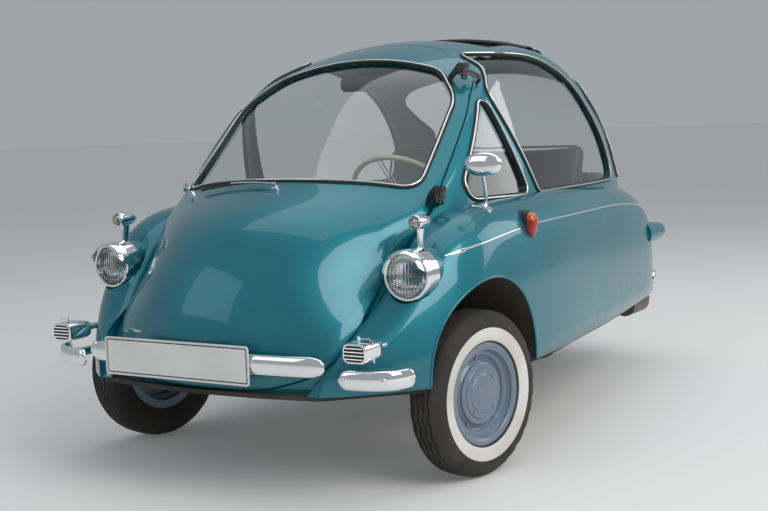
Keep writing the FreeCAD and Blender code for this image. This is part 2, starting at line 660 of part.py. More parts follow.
tilt = math.radians(size("column_tilt"))
column_way = Vector(0, math.cos(tilt), math.sin(tilt))
wheel_middle = Vector(size("column_side"), -400, 765)
column_foot = wheel_middle - column_way * ((wheel_middle.z - SILL) / math.sin(tilt))
column_top = wheel_middle - column_way * 46
column = tube([column_foot - column_way * 40, column_top], 22)
column = column.fuse(Part.makeCylinder(48, 60, column_top - column_way * 130, column_way))
pod = Part.makeBox(190, 90, 70, Vector(-95, 0, 0))
pod.Placement = Placement(wheel_middle - column_way * 175 + Vector(0, -40, 46), Rotation(Vector(1, 0, 0), 20))
socket = Part.makeCylinder(11 + PLAY, 62, column_top - column_way * 60, column_way)
below_floor = Part.makeBox(2 * FAR, 2 * FAR, FAR, Vector(-FAR, -FAR, SILL - FAR))
feature("steering_column", column.fuse(pod).cut([below_floor, socket]))

facing = Rotation(Vector(0, 0, 1), column_way)
grip_radius = size("steering_rim_radius")
grip_ring = [Vector(size("steering_wheel_diameter") / 2 + grip_radius * math.cos(math.tau * k / 8), 0,
                    grip_radius * math.sin(math.tau * k / 8)) for k in range(8)]
steering = Part.Face(Part.makePolygon(grip_ring + grip_ring[:1])).revolve(Vector(), Vector(0, 0, 1), 360)
steering = steering.fuse([Part.makeCylinder(30, 34, Vector(0, 0, -34)),
                          Part.makeCylinder(11, 66, Vector(0, 0, -46 - 50)),
                          Part.makeCylinder(16, 12, Vector(0, 0, -46 + GAP))]
                         + [Part.makeCylinder(6, size("steering_wheel_diameter") / 2, Vector(0, 0, -10),
                                              Vector(math.cos(a), math.sin(a), 0.055))
                            for a in (math.radians(b) for b in (30, 150, 270))])
feature("steering_wheel", steering, Placement(wheel_middle, facing))

pads = []
for x in (116, 262, 330):
    lever = tube([Vector(x, -905, SILL + 3), Vector(x, -880, 395)], 7)
    pad = Part.makeBox(44, 8, 56)
    pad.Placement = Placement(Vector(x - 22, -884, 378), Rotation(Vector(1, 0, 0), 35))
    foot = Part.makeBox(36, 40, 10, Vector(x - 18, -925, SILL))
    pads.append(lever.fuse([pad, foot]))
feature("pedals", Part.makeCompound(pads))

levers = []
for x, y, top in ((488, -150, 560), (-488, -60, 520)):
    base = Part.makeBox(44, 90, 26, Vector(x - 22, y - 45, SILL))
    rod = tube([Vector(x, y, SILL + 10), Vector(x, y - 45, top)], 7)
    levers.append(base.fuse([rod, Part.makeSphere(19, Vector(x, y - 45, top))]))
feature("hand_levers", Part.makeCompound(levers))

# Seat
seat_front = -45
base_top = size("seat_height") - size("cushion_thickness")
seat_base = primitive("Box", "seat_box", at(-size("seat_width") / 2 + 60, seat_front + 40, SILL),
                      Length="sizes.seat_width - 120", Width="sizes.seat_depth - 20",
                      Height="sizes.seat_height - sizes.cushion_thickness - sizes.sill_height")
joined("seat_base", [seat_base, primitive("Box", "seat_runner", at(-size("seat_width") / 2, seat_front, base_top - 14),
                                          Length="sizes.seat_width", Width="sizes.seat_depth", Height="14")])


def cushion(name, place, width, depth, height):
    """A cushion with rounded edges."""
    block = primitive("Box", name + "_block", Placement(), Length=width, Width=depth, Height=height)
    doc.recompute()
    soft = doc.addObject("Part::Fillet", name)
    soft.Label = name
    soft.Base = block
    soft.Edges = [(i + 1, 28.0, 28.0) for i in range(12)]
    soft.Placement = place
    kept.append(soft)
    return soft


cushion("seat_cushion", at(-size("seat_width") / 2, seat_front, base_top), "sizes.seat_width", "sizes.seat_depth",
        "sizes.cushion_thickness")
back_lean = 14
back_height = (size("backrest_top") - size("seat_height")) / math.cos(math.radians(back_lean))
cushion("seat_back", at(-size("seat_width") / 2 + 30, seat_front + size("seat_depth") + 4, size("seat_height") - 60,
                        Vector(1, 0, 0), -back_lean), "sizes.seat_width - 60", "sizes.backrest_thickness",
        "%g" % (back_height + 40))

# Door fittings and the hinges
fan_rows = cabinRows(4)


def skinPoint(x, angle, lift=0.0):
    """A point over the door's middle part: across, angle up from the nose, height above the skin."""
    row = min(fan_rows, key=lambda r: abs(r[0] - angle))
    crown, crown_radius = row[1], row[2]
    run = crown - crown_radius + math.sqrt(crown_radius ** 2 - x * x) + lift
    return fanPlace(angle)(x, run)


HINGE_LOW = Vector(512, -735, 806)
HINGE_HIGH = Vector(410, -378, 1173)
hinge_way = HINGE_HIGH - HINGE_LOW
hinge_way.normalize()
hinge_out = Vector(0.75, -0.45, 0.45)
hinge_out = hinge_out - hinge_way * hinge_out.dot(hinge_way)
hinge_out.normalize()
hinge_body = hinge_way.cross(hinge_out)


def hingeBlock(middle, along, side, out):
    """A block at a hinge, from three (from, to) pairs: along the axis, towards the body, outwards."""
    corners = [middle + hinge_way * along[0] + hinge_body * s + hinge_out * o
               for s, o in ((side[0], out[0]), (side[1], out[0]), (side[1], out[1]), (side[0], out[1]))]
    return Part.Face(Part.makePolygon(corners + corners[:1])).extrude(hinge_way * (along[1] - along[0]))


brackets, arms = [], []
PIN = 5
for middle, reach in ((HINGE_LOW, 0), (HINGE_HIGH, 45)):
    barrel = Part.makeCylinder(11, 28, middle - hinge_way * 14, hinge_way)
    foot = hingeBlock(middle, (-13, 13), (reach, reach + 17), (-75, 6))
    foot = foot.fuse(hingeBlock(middle, (-13, 13), (0, reach + 17), (-20, 6)))
    bore = Part.makeCylinder(PIN + PLAY, 60, middle - hinge_way * 30, hinge_way)
    brackets.append(largest(barrel.fuse(foot).cut([bore, skin, fender])))
    pin = Part.makeCylinder(PIN, 60, middle - hinge_way * 30, hinge_way)
    ends = []
    for start in (14.6, -30):
        ends.append(Part.makeCylinder(11, 15.4, middle + hinge_way * start, hinge_way))
        ends.append(hingeBlock(middle, (start, start + 15.4), (-24, 0), (-8, 6)))
    ends.append(hingeBlock(middle, (-30, 30), (-36, -15), (-75, 6)))
    arms.append(largest(pin.fuse(ends).cut([skin, fender])))
feature("hinge_brackets", Part.makeCompound(brackets))
feature("hinge_arms", Part.makeCompound(arms))


def bar(outer, height, middle, thickness):
    """A bumper bar seen from above: outer is its outer edge, from one end to the other."""
    inner = []
    for i, point in enumerate(outer):
        before = outer[max(i - 1, 0)]
        after = outer[min(i + 1, len(outer) - 1)]
        run = Vector(after[0] - before[0], after[1] - before[1], 0)
        run.normalize()
        inner.append((point[0] - run.y * thickness, point[1] + run.x * thickness))
    ring = [Vector(x, y, middle - height / 2) for x, y in list(outer) + inner[::-1]]
    return Part.Face(Part.makePolygon(ring + ring[:1])).extrude(Vector(0, 0, height))


high = size("bumper_height")
thick = size("bumper_thickness")
front_bar = bar(((-420, -1240), (-330, -1257), (-200, -1268), (-90, -1272), (90, -1272), (200, -1268), (330, -1257),
                 (420, -1240)), high, size("bumper_middle"), thick)
stays = [Part.makeBox(30, 90, 26, Vector(x - 15, -1262, size("bumper_middle") - 13)) for x in (-250, 250)]
bumper = front_bar.fuse(stays).cut(skin)
feature("front_bumper", bumper)

quarter = bar(((456, -1230), (546, -1214), (604, -1177), (632, -1112)), high - 4, size("side_bumper_middle"), thick)
quarter_stay = Part.makeBox(26, 160, 24, Vector(540, -1204, size("side_bumper_middle") - 12))
feature("side_bumpers", pair(quarter.fuse(quarter_stay).cut([fender, arch])))

rear_bar = bar(((474, 1150), (452, 1215), (400, 1262), (300, 1275)), high, size("rear_bumper_middle"), thick)
rear_stay = Part.makeBox(60, 160, 24, Vector(340, 1100, size("rear_bumper_middle") - 12))
rear_parts = rear_bar.fuse(rear_stay).cut([skin, fender])
feature("rear_bumpers", pair(largest(rear_parts)))

horn = Part.makeBox(size("horn_width"), size("horn_length"), 54,
                    Vector(size("horn_side") - size("horn_width") / 2, -1246, size("horn_height") - 27))
horn_stay = Part.makeCylinder(11, 140, Vector(size("horn_side"), -1246 + size("horn_length") - 5, size("horn_height")),
                              Vector(0, 1, 0))
feature("horns", pair(horn.fuse(horn_stay).cut([fender, arch])))

# Lamps
lamp = Vector(size("lamp_side"), size("lamp_face"), size("lamp_height"))
lamp_radius = size("lamp_diameter") / 2
rearward = Vector(0, 1, 0)
bezel_reach = size("bezel_reach")
bezel = Part.makeCylinder(lamp_radius, bezel_reach + 24, lamp - rearward * bezel_reach, rearward)
bezel = bezel.cut(Part.makeCylinder(lamp_radius - 4, 40, lamp, rearward))
visor = Part.makeCylinder(lamp_radius, size("visor_reach"), lamp - rearward * size("visor_reach"), rearward)
visor = visor.cut(Part.makeCylinder(lamp_radius - 3, 2 * size("visor_reach"), lamp - rearward * 80, rearward))
visor_cut = Part.makeBox(300, 500, 300, Vector(-150, -200, -300))
visor_cut.Placement = Placement(lamp - rearward * (bezel_reach - 4), Rotation(Vector(1, 0, 0), -42))
visor = visor.cut(visor_cut)
bezel = bezel.fuse(visor).cut(Part.makeCylinder(lamp_radius - 12, 100, lamp - rearward * 90, rearward))
bezel = largest(bezel.cut(fender))
feature("headlamp_bezels", pair(bezel))
lens = Part.makeSphere(170, lamp + rearward * (166 - bezel_reach))
lens = lens.common(Part.makeCylinder(lamp_radius - 12 - GAP, 90, lamp - rearward * 90, rearward))
lens = lens.common(Part.makeBox(400, 400, 400, lamp + Vector(-200, -400, -200)))
feature("headlamp_lenses", pair(lens))

parking = Part.makeCylinder(21, 46, Vector(545, -955, 744), rearward)
parking = parking.fuse([Part.makeCone(21, 7, 36, Vector(545, -909, 744), rearward),
                        Part.makeSphere(19, Vector(545, -955, 744)),
                        Part.makeBox(16, 34, 90, Vector(537, -934, 656))])
feature("parking_lamps", pair(largest(parking.cut([fender, lamp_housing]))))

FLASHER = Vector(630, -481, 702)
flasher = Part.makeCylinder(27, 60, FLASHER + Vector(0, 0, 16), Vector(1, 0, 0))
flasher = flasher.fuse([Part.makeCylinder(27, 60, FLASHER - Vector(0, 0, 16), Vector(1, 0, 0)),
                        Part.makeBox(60, 54, 32, FLASHER - Vector(0, 27, 16))])
flasher = flasher.cut(fender)
feature("side_indicators", pair(largest(flasher)))

tail_tip = Part.makeCylinder(33, 40, Vector(size("tail_lamp_side"), 1188, size("tail_lamp_height")), rearward)
feature("tail_lamps", pair(tail_tip.cut([tail_pod, skin, fender])))

# Mirrors, plates, wiper and handle
MIRROR = Vector(640, -728, 893)
head = Part.makeCylinder(36, 20, MIRROR + Vector(-24, -8, 0), rearward)
head = head.fuse([Part.makeCylinder(36, 20, MIRROR + Vector(24, -8, 0), rearward),
                  Part.makeBox(48, 20, 72, MIRROR + Vector(-24, -8, -36))])
stalk = tube([Vector(500, -628, 760), Vector(600, -632, 770), MIRROR + Vector(0, 0, -20)], 5)
mirror_foot = Part.makeBox(60, 34, 40, Vector(520, -645, 742))
feature("outside_mirror", largest(head.fuse([stalk, mirror_foot]).cut([skin, fender])))

front_plate = primitive("Box", "front_plate", at(size("plate_offset") - size("plate_width") / 2, -1275, 323),
                        Length="sizes.plate_width", Width="sizes.plate_thickness", Height="sizes.plate_height")
kept.append(front_plate)
rear_plate = Part.makeBox(size("rear_plate_width"), size("plate_thickness"), size("plate_height") + 30,
                          Vector(-size("rear_plate_width") / 2, 1263, 410))
plate_stay = Part.makeBox(160, 110, 30, Vector(-80, 1153, 470)).cut([skin, fender, mirrored(fender)])
feature("rear_plate", largest(rear_plate.fuse(plate_stay)))

post = Part.makeCylinder(9, 26, skinPoint(30, 34, -8), skinPoint(30, 34, 10) - skinPoint(30, 34))
sweep = tube([skinPoint(30, 34, 12), skinPoint(-60, 36, 13), skinPoint(-290, 36.5, 11)], 4)
blade = tube([skinPoint(-60, 36, 7), skinPoint(-175, 36.4, 6), skinPoint(-290, 36.5, 5)], 4)
feature("wiper", post.fuse([sweep, blade]).cut(skin))

grip = [skinPoint(-405, 33, -6), skinPoint(-405, 33, 34), skinPoint(-455, 38, 34), skinPoint(-455, 38, -10)]
feature("door_handle", tube(grip, 8).cut(skin))

glass = Part.makeBox(170, 14, 52)
glass.Placement = Placement(Vector(-85, -344, 1128), Rotation(Vector(1, 0, 0), -8))
hanger = tube([Vector(0, -250, 1232), Vector(0, -332, 1160)], 6).cut(door)
feature("inside_mirror", glass.fuse(largest(hanger)))

doc.recompute()

# Every piece has to be sound before it is written out
for piece in doc.Objects:
    if "Invalid" in piece.State or "Error" in piece.State:
        raise RuntimeError("%s did not come out" % piece.Label)
os.makedirs("parts", exist_ok=True)
for piece in kept:
    if piece.Shape.isNull() or not piece.Shape.isValid():
        raise RuntimeError("%s has no sound shape" % piece.Label)
    piece.Shape.exportStep("parts/%s.step" % piece.Label)
    box = piece.Shape.BoundBox
    print("%-18s %2d %9.0f  x %6.0f %6.0f  y %6.0f %6.0f  z %6.0f %6.0f" % (
        piece.Label, len(piece.Shape.Solids), piece.Shape.Volume / 1000, box.XMin, box.XMax, box.YMin, box.YMax,
        box.ZMin, box.ZMax))
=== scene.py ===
import json
import math

import bmesh
import bpy
from mathutils import Matrix, Vector
from mathutils.bvhtree import BVHTree
from mathutils.interpolate import poly_3d_calc

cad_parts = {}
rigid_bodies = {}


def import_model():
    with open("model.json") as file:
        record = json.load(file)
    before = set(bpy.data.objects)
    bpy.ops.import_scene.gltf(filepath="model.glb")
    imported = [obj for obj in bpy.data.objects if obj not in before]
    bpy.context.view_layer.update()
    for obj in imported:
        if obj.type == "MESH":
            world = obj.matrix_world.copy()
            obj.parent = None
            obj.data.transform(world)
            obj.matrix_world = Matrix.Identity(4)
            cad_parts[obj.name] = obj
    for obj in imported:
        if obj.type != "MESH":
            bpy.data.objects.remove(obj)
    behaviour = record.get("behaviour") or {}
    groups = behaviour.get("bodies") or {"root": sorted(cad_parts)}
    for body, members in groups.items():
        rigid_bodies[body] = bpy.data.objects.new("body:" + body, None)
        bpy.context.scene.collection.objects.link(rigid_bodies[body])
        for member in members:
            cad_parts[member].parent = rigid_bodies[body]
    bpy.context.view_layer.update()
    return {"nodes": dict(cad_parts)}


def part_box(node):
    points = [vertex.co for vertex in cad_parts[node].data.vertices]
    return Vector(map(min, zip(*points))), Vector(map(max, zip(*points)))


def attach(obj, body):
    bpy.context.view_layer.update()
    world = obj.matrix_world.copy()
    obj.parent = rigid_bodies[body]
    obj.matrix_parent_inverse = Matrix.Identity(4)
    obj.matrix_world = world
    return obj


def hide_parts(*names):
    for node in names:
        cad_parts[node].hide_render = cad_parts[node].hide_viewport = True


# Teal bubble car. The nose is a single door; lengths in the tables are millimetres, in the scene metres.
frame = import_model()
nodes = frame["nodes"]
mm = 0.001


# Materials

class Wire:  # a shader socket that can be used in sums
    def __init__(self, finish, socket):
        self.finish = finish
        self.socket = socket

    def math(self, operation, *values, clamp=False):
        return self.finish.node("ShaderNodeMath", {"operation": operation, "use_clamp": clamp}, *values)

    def __add__(self, other):
        return self.math("ADD", self, other)

    __radd__ = __add__

    def __sub__(self, other):
        return self.math("SUBTRACT", self, other)

    def __rsub__(self, other):
        return self.math("SUBTRACT", other, self)

    def __mul__(self, other):
        return self.math("MULTIPLY", self, other)

    __rmul__ = __mul__

    def sine(self):
        return self.math("SINE", self)

    def between(self, low, high):  # 0 at low, 1 at high
        return self.math("MULTIPLY", self - low, 1 / (high - low), clamp=True)


class Finish:  # a material built round one Principled shader
    def __init__(self, name, **values):
        self.material = bpy.data.materials.new(name)
        self.material.use_nodes = True
        self.tree = self.material.node_tree
        self.shader = self.tree.nodes["Principled BSDF"]
        for key, value in values.items():
            self.set(key, value)

    def set(self, key, value):
        socket = self.shader.inputs[key.replace("_", " ")]
        self.feed(socket, value)

    def feed(self, socket, value):
        if isinstance(value, Wire):
            self.tree.links.new(value.socket, socket)
        elif isinstance(value, (tuple, list)) and len(value) == 3 and socket.type == "RGBA":
            socket.default_value = (*value, 1)
        else:
            socket.default_value = value

    def node(self, kind, settings=None, *values, out=0, **named):
        node = self.tree.nodes.new(kind)
        for key, value in (settings or {}).items():
            if key == "stops":
                ramp = node.color_ramp
                while len(ramp.elements) < len(value):
                    ramp.elements.new(0.5)
                for element, (place, colour) in zip(ramp.elements, value):
                    element.position = place
                    element.color = (*colour, 1)
            else:
                setattr(node, key, value)
        for socket, value in zip(node.inputs, values):
            self.feed(socket, value)
        for key, value in named.items():
            self.feed(node.inputs[key.replace("_", " ")], value)
        return Wire(self, node.outputs[out])

    def place(self):
        return self.node("ShaderNodeTexCoord", out=3)

    def noise(self, scale, detail=3, roughness=0.55, vector=None):
        return self.node("ShaderNodeTexNoise", Vector=vector or self.place(), Scale=scale, Detail=detail,
                         Roughness=roughness)

    def cells(self, scale, feature="F1", vector=None):
        return self.node("ShaderNodeTexVoronoi", {"feature": feature}, Vector=vector or self.place(),
                         Scale=scale)

    def axis(self, index):
        return self.node("ShaderNodeSeparateXYZ", None, self.place(), out=index)

    def mix(self, factor, first, second):
        node = self.tree.nodes.new("ShaderNodeMix")
        node.data_type = "RGBA"
        self.feed(node.inputs[0], factor)
        self.feed(node.inputs[6], first)
        self.feed(node.inputs[7], second)
        return Wire(self, node.outputs[2])

    def bump(self, height, strength, distance):
        self.set("Normal", self.node("ShaderNodeBump", Strength=strength, Distance=distance, Height=height))


finishes = {}


def paintFinish(name, colour, lift, metallic, wear=0.0):
    f = Finish(name, Metallic=metallic, Coat_Weight=0.8, Coat_Roughness=0.05, Specular_IOR_Level=0.35)
    cloud = f.noise(3.2, 2)
    flake = f.cells(1400)
    fleck = flake.between(0.02, 0.45)
    base = f.mix(cloud.between(0.3, 0.7) * 0.5 + 0.1, colour, lift)
    dust = f.axis(2).between(0.5, 0.26) * f.noise(14, 5).between(0.4, 0.8)
    f.set("Base Color", f.mix(dust * (0.1 + wear), base, (0.2, 0.18, 0.14)))
    f.set("Roughness", fleck * 0.12 + dust * 0.2 + 0.3)
    f.bump(f.noise(900, 1), 0.02, 0.0004)
    finishes[name] = f.material


# name, colour, its lighter patches, metallic, wear
paintFinish("tealPaint", (0.001, 0.15, 0.205), (0.003, 0.225, 0.27), 0.5)
paintFinish("wheelPaint", (0.13, 0.19, 0.26), (0.18, 0.24, 0.31), 0.15, 0.2)


def chromeFinish():
    f = Finish("chromeTrim", Base_Color=(0.86, 0.87, 0.88), Metallic=1.0)
    smear = f.noise(38, 4)
    pits = f.cells(260).between(0.0, 0.16)
    f.set("Roughness", smear.between(0.45, 0.8) * 0.1 + (1 - pits) * 0.12 + 0.035)
    f.bump(f.noise(16, 2), 0.03, 0.002)
    finishes["chromeTrim"] = f.material


def plainFinish(name, colour, other, roughness, grain, scale=60, metallic=0.0, strength=0.2, deep=0.0006,
                **more):
    f = Finish(name, Metallic=metallic, **more)
    patch = f.noise(scale * 0.15, 4)
    fine = f.noise(scale * 6, 3)
    f.set("Base Color", f.mix(patch.between(0.35, 0.7), colour, other))
    f.set("Roughness", fine * grain + roughness)
    f.bump(fine + patch * 0.5, strength, deep)
    finishes[name] = f.material


chromeFinish()
# name, colour, its patches, roughness and its grain, scale of the pattern
plainFinish("sealRubber", (0.012, 0.012, 0.013), (0.03, 0.029, 0.028), 0.45, 0.25, 80)
plainFinish("tyreRubber", (0.022, 0.021, 0.02), (0.05, 0.045, 0.038), 0.68, 0.25, 50, strength=0.4)
plainFinish("whiteBand", (0.72, 0.71, 0.67), (0.55, 0.52, 0.46), 0.5, 0.2, 30, strength=0.15)
plainFinish("underPaint", (0.02, 0.02, 0.021), (0.06, 0.05, 0.04), 0.65, 0.3, 30, strength=0.5, deep=0.001)
plainFinish("castMetal", (0.09, 0.09, 0.09), (0.2, 0.18, 0.15), 0.5, 0.3, 30, metallic=0.7, strength=0.5,
            deep=0.001)
plainFinish("bareSteel", (0.25, 0.24, 0.23), (0.14, 0.11, 0.09), 0.35, 0.3, 40, metallic=0.85, strength=0.3)
plainFinish("trimBoard", (0.03, 0.032, 0.034), (0.05, 0.05, 0.05), 0.6, 0.2, 90, strength=0.3)
plainFinish("cabinTrim", (0.045, 0.12, 0.135), (0.06, 0.14, 0.15), 0.5, 0.2, 60)
plainFinish("ivoryGrip", (0.72, 0.68, 0.55), (0.6, 0.55, 0.42), 0.22, 0.1, 30, Coat_Weight=0.6)
plainFinish("plateWhite", (0.78, 0.78, 0.76), (0.66, 0.65, 0.62), 0.3, 0.15, 24, Coat_Weight=0.4)
plainFinish("blackEnamel", (0.012, 0.012, 0.013), (0.02, 0.02, 0.02), 0.25, 0.15, 40)
plainFinish("redLens", (0.38, 0.01, 0.006), (0.26, 0.006, 0.004), 0.08, 0.08, 60, Coat_Weight=0.8)
# a lighter amber copy of the red lens: a painted highlight on the upper half of the side indicators
plainFinish("lensTopPaintedHighlight", (0.62, 0.1, 0.008), (0.5, 0.07, 0.006), 0.08, 0.08, 60, Coat_Weight=0.8)
plainFinish("dialFace", (0.55, 0.53, 0.45), (0.5, 0.48, 0.4), 0.4, 0.1, 60)


def glassFinish(name, tint, flutes=False):
    f = Finish(name, Base_Color=tint, Roughness=0.02, IOR=1.45)
    f.shader.inputs["Transmission Weight"].default_value = 1.0
    if flutes:
        wave = f.node("ShaderNodeTexWave", {"bands_direction": "X"}, Vector=f.place(), Scale=34,
                      Distortion=0.0)
        f.bump(wave, 0.6, 0.003)
    else:
        f.bump(f.noise(5, 1), 0.02, 0.002)
    finishes[name] = f.material


glassFinish("paneGlass", (0.93, 0.97, 0.96))
glassFinish("lampGlass", (0.97, 0.98, 0.97), True)


def clothFinish():
    f = Finish("roofCloth", Sheen_Weight=0.25)
    threads = 2600  # radians for each metre
    weave = (f.axis(0) * threads).sine() * (f.axis(1) * threads).sine()
    worn = f.noise(9, 5).between(0.4, 0.75)
    f.set("Base Color", f.mix(worn, (0.012, 0.012, 0.014), (0.04, 0.038, 0.036)))
    f.set("Roughness", worn * 0.15 + 0.72)
    f.bump(weave, 0.4, 0.0005)
    finishes["roofCloth"] = f.material


def vinylFinish():
    f = Finish("seatVinyl", Coat_Weight=0.1)
    grain = f.cells(420, "DISTANCE_TO_EDGE")
    worn = f.noise(7, 4).between(0.42, 0.72)
    f.set("Base Color", f.mix(worn, (0.03, 0.03, 0.032), (0.055, 0.052, 0.05)))
    f.set("Roughness", worn * -0.1 + 0.48)
    f.bump(grain.between(0.0, 0.12), 0.35, 0.0006)
    finishes["seatVinyl"] = f.material


clothFinish()
vinylFinish()
print("materials", len(finishes))


# Mesh helpers

def finishPiece(name, bm, bodyName, materials, stands=(), sharp=32, recalc=True):
    if recalc:
        bmesh.ops.recalc_face_normals(bm, faces=bm.faces)
    mesh = bpy.data.meshes.new(name)
    bm.to_mesh(mesh)
    bm.free()
    return addPiece(name, mesh, bodyName, materials, stands, sharp)


def addPiece(name, mesh, bodyName, materials, stands=(), sharp=32):
    for i, material in enumerate([materials] if isinstance(materials, str) else materials):
        if i < len(mesh.materials):
            mesh.materials[i] = finishes[material]
        else:
            mesh.materials.append(finishes[material])
    mesh.polygons.foreach_set("use_smooth", [True] * len(mesh.polygons))
    if sharp:
        mesh.set_sharp_from_angle(angle=math.radians(sharp))
    obj = bpy.data.objects.new(name, mesh)
    bpy.context.scene.collection.objects.link(obj)
    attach(obj, bodyName)
    if stands:
        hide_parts(*stands)
    return obj


def addRing(bm, points):
    verts = [bm.verts.new(p) for p in points]
    return [bm.edges.new(pair) for pair in zip(verts, verts[1:] + verts[:1])]


def loft(rings, caps=True, index=0, bm=None):  # closed rings bridged one to the next
    bm = bm or bmesh.new()
    before = set(bm.faces)
    loops = [addRing(bm, ring) for ring in rings]
    for first, second in zip(loops, loops[1:]):
        bmesh.ops.bridge_loops(bm, edges=first + second)
    if caps:
        for edges in (loops[0], loops[-1]):
            bmesh.ops.contextual_create(bm, geom=edges)
    for face in set(bm.faces) - before:
        face.material_index = index
    return bm


def prism(outline, place, depth, index=2):  # an outline pushed through along a direction
    bm = bmesh.new()
    edges = addRing(bm, [place(u, v) for u, v in outline])
    made = bmesh.ops.contextual_create(bm, geom=edges)
    raised = bmesh.ops.extrude_face_region(bm, geom=made["faces"])
    far = [v for v in raised["geom"] if isinstance(v, bmesh.types.BMVert)]
    bmesh.ops.translate(bm, verts=far, vec=depth)
    bmesh.ops.recalc_face_normals(bm, faces=bm.faces)
    for face in bm.faces:
        face.material_index = index
    return bm


def turnRound(bm, profile, steps, matrix=None, index=0, closed=False):  # (along X, radius) spun about X
    before = set(bm.verts)
    verts = [bm.verts.new((along, 0, radius)) for along, radius in profile]
    pairs = list(zip(verts, verts[1:])) + ([(verts[-1], verts[0])] if closed else [])
    edges = [bm.edges.new(pair) for pair in pairs]
    had = set(bm.faces)
    bmesh.ops.spin(bm, geom=verts + edges, cent=(0, 0, 0), axis=(1, 0, 0), dvec=(0, 0, 0), angle=math.tau,
                   steps=steps, use_merge=True)
    fresh = [v for v in bm.verts if v not in before]
    bmesh.ops.remove_doubles(bm, verts=fresh, dist=0.00002)
    fresh = [v for v in bm.verts if v not in before]
    for face in set(bm.faces) - had:
        face.material_index = index
    if matrix:
        bmesh.ops.transform(bm, matrix=matrix, verts=fresh)
    return bm


# the skins' materials by index: cabin, fenders, cut edges, inside, wheel arches
panelFinishes = ["tealPaint", "tealPaint", "tealPaint", "cabinTrim", "underPaint"]


def standIn(bm):  # a temporary object for booleans
    mesh = bpy.data.meshes.new("cutter")
    bm.to_mesh(mesh)
    bm.free()
    for _ in panelFinishes:
        mesh.materials.append(None)
    obj = bpy.data.objects.new("cutter", mesh)
    bpy.context.scene.collection.objects.link(obj)
    return obj


def carve(base, *steps):  # boolean steps of (operation, object), worked into a new mesh
    for operation, cutter in steps:
        step = base.modifiers.new("step", "BOOLEAN")
        step.operation = operation
        step.solver = "EXACT"
        step.material_mode = "INDEX"
        step.object = cutter
    bpy.context.view_layer.update()
    mesh = bpy.data.meshes.new_from_object(base.evaluated_get(bpy.context.evaluated_depsgraph_get()))
    base.modifiers.clear()
    return mesh


def roundedOutline(corners, steps=7):
    points = []
    count = len(corners)
    for i, (u, v, radius) in enumerate(corners):
        here = Vector((u, v))
        before = (Vector(corners[i - 1][:2]) - here).normalized()
        after = (Vector(corners[(i + 1) % count][:2]) - here).normalized()
        half = before.angle(after) / 2
        reach = radius / math.tan(half)
        centre = here + (before + after).normalized() * (radius / math.sin(half))
        start, end = here + before * reach - centre, here + after * reach - centre
        sweep = math.atan2(start.x * end.y - start.y * end.x, start.dot(end))
        for k in range(steps + 1):
            turn = Matrix.Rotation(sweep * k / steps, 2)
            points.append(tuple(centre + turn @ start))
    return points


def spread(points, gap, closed=True):  # evenly spaced points along a polyline
    line = [Vector(p) for p in points] + ([Vector(points[0])] if closed else [])
    total = sum((b - a).length for a, b in zip(line, line[1:]))
    count = max(3, round(total / gap))
    result, walked, target = [], 0.0, 0.0
    for a, b in zip(line, line[1:]):
        run = (b - a).length
        while run > 0 and target <= walked + run + 1e-9 and len(result) < count + (0 if closed else 1):
            result.append(a.lerp(b, (target - walked) / run))
            target += total / count
        walked += run
    return result


def tube(name, points, radius, bodyName, material, closed=False, flat=1.0, normals=None,
         around=10):
    bm = bmesh.new()
    addTube(bm, points, radius, closed, flat, normals, around)
    return finishPiece(name, bm, bodyName, material, sharp=50)


# flat narrows the tube along its normals
def addTube(bm, points, radius, closed=False, flat=1.0, normals=None, around=10, index=0):
    rings = []
    count = len(points)
    side = None
    for i, point in enumerate(points):
        ahead = points[(i + 1) % count] if closed or i < count - 1 else point
        behind = points[i - 1] if closed or i else point
        way = (Vector(ahead) - Vector(behind)).normalized()
        if normals:
            side = Vector(normals[i])
        elif side is None:
            side = way.orthogonal()
        side = (side - way * side.dot(way)).normalized()
        other = way.cross(side)
        rings.append([Vector(point) + side * math.cos(a) * radius * flat + other * math.sin(a) * radius
                      for a in (math.tau * k / around for k in range(around))])
    had = set(bm.faces)
    loops = [addRing(bm, ring) for ring in rings]
    if closed:
        loops.append(loops[0])
    for first, second in zip(loops, loops[1:]):
        bmesh.ops.bridge_loops(bm, edges=first + second)
    if not closed:
        for edges in (loops[0], loops[-1]):
            bmesh.ops.contextual_create(bm, geom=edges)
    for face in set(bm.faces) - had:
        face.material_index = index
    return bm


# The skins: arches of a base, leaning sides, shoulders and a crown, as in the solids

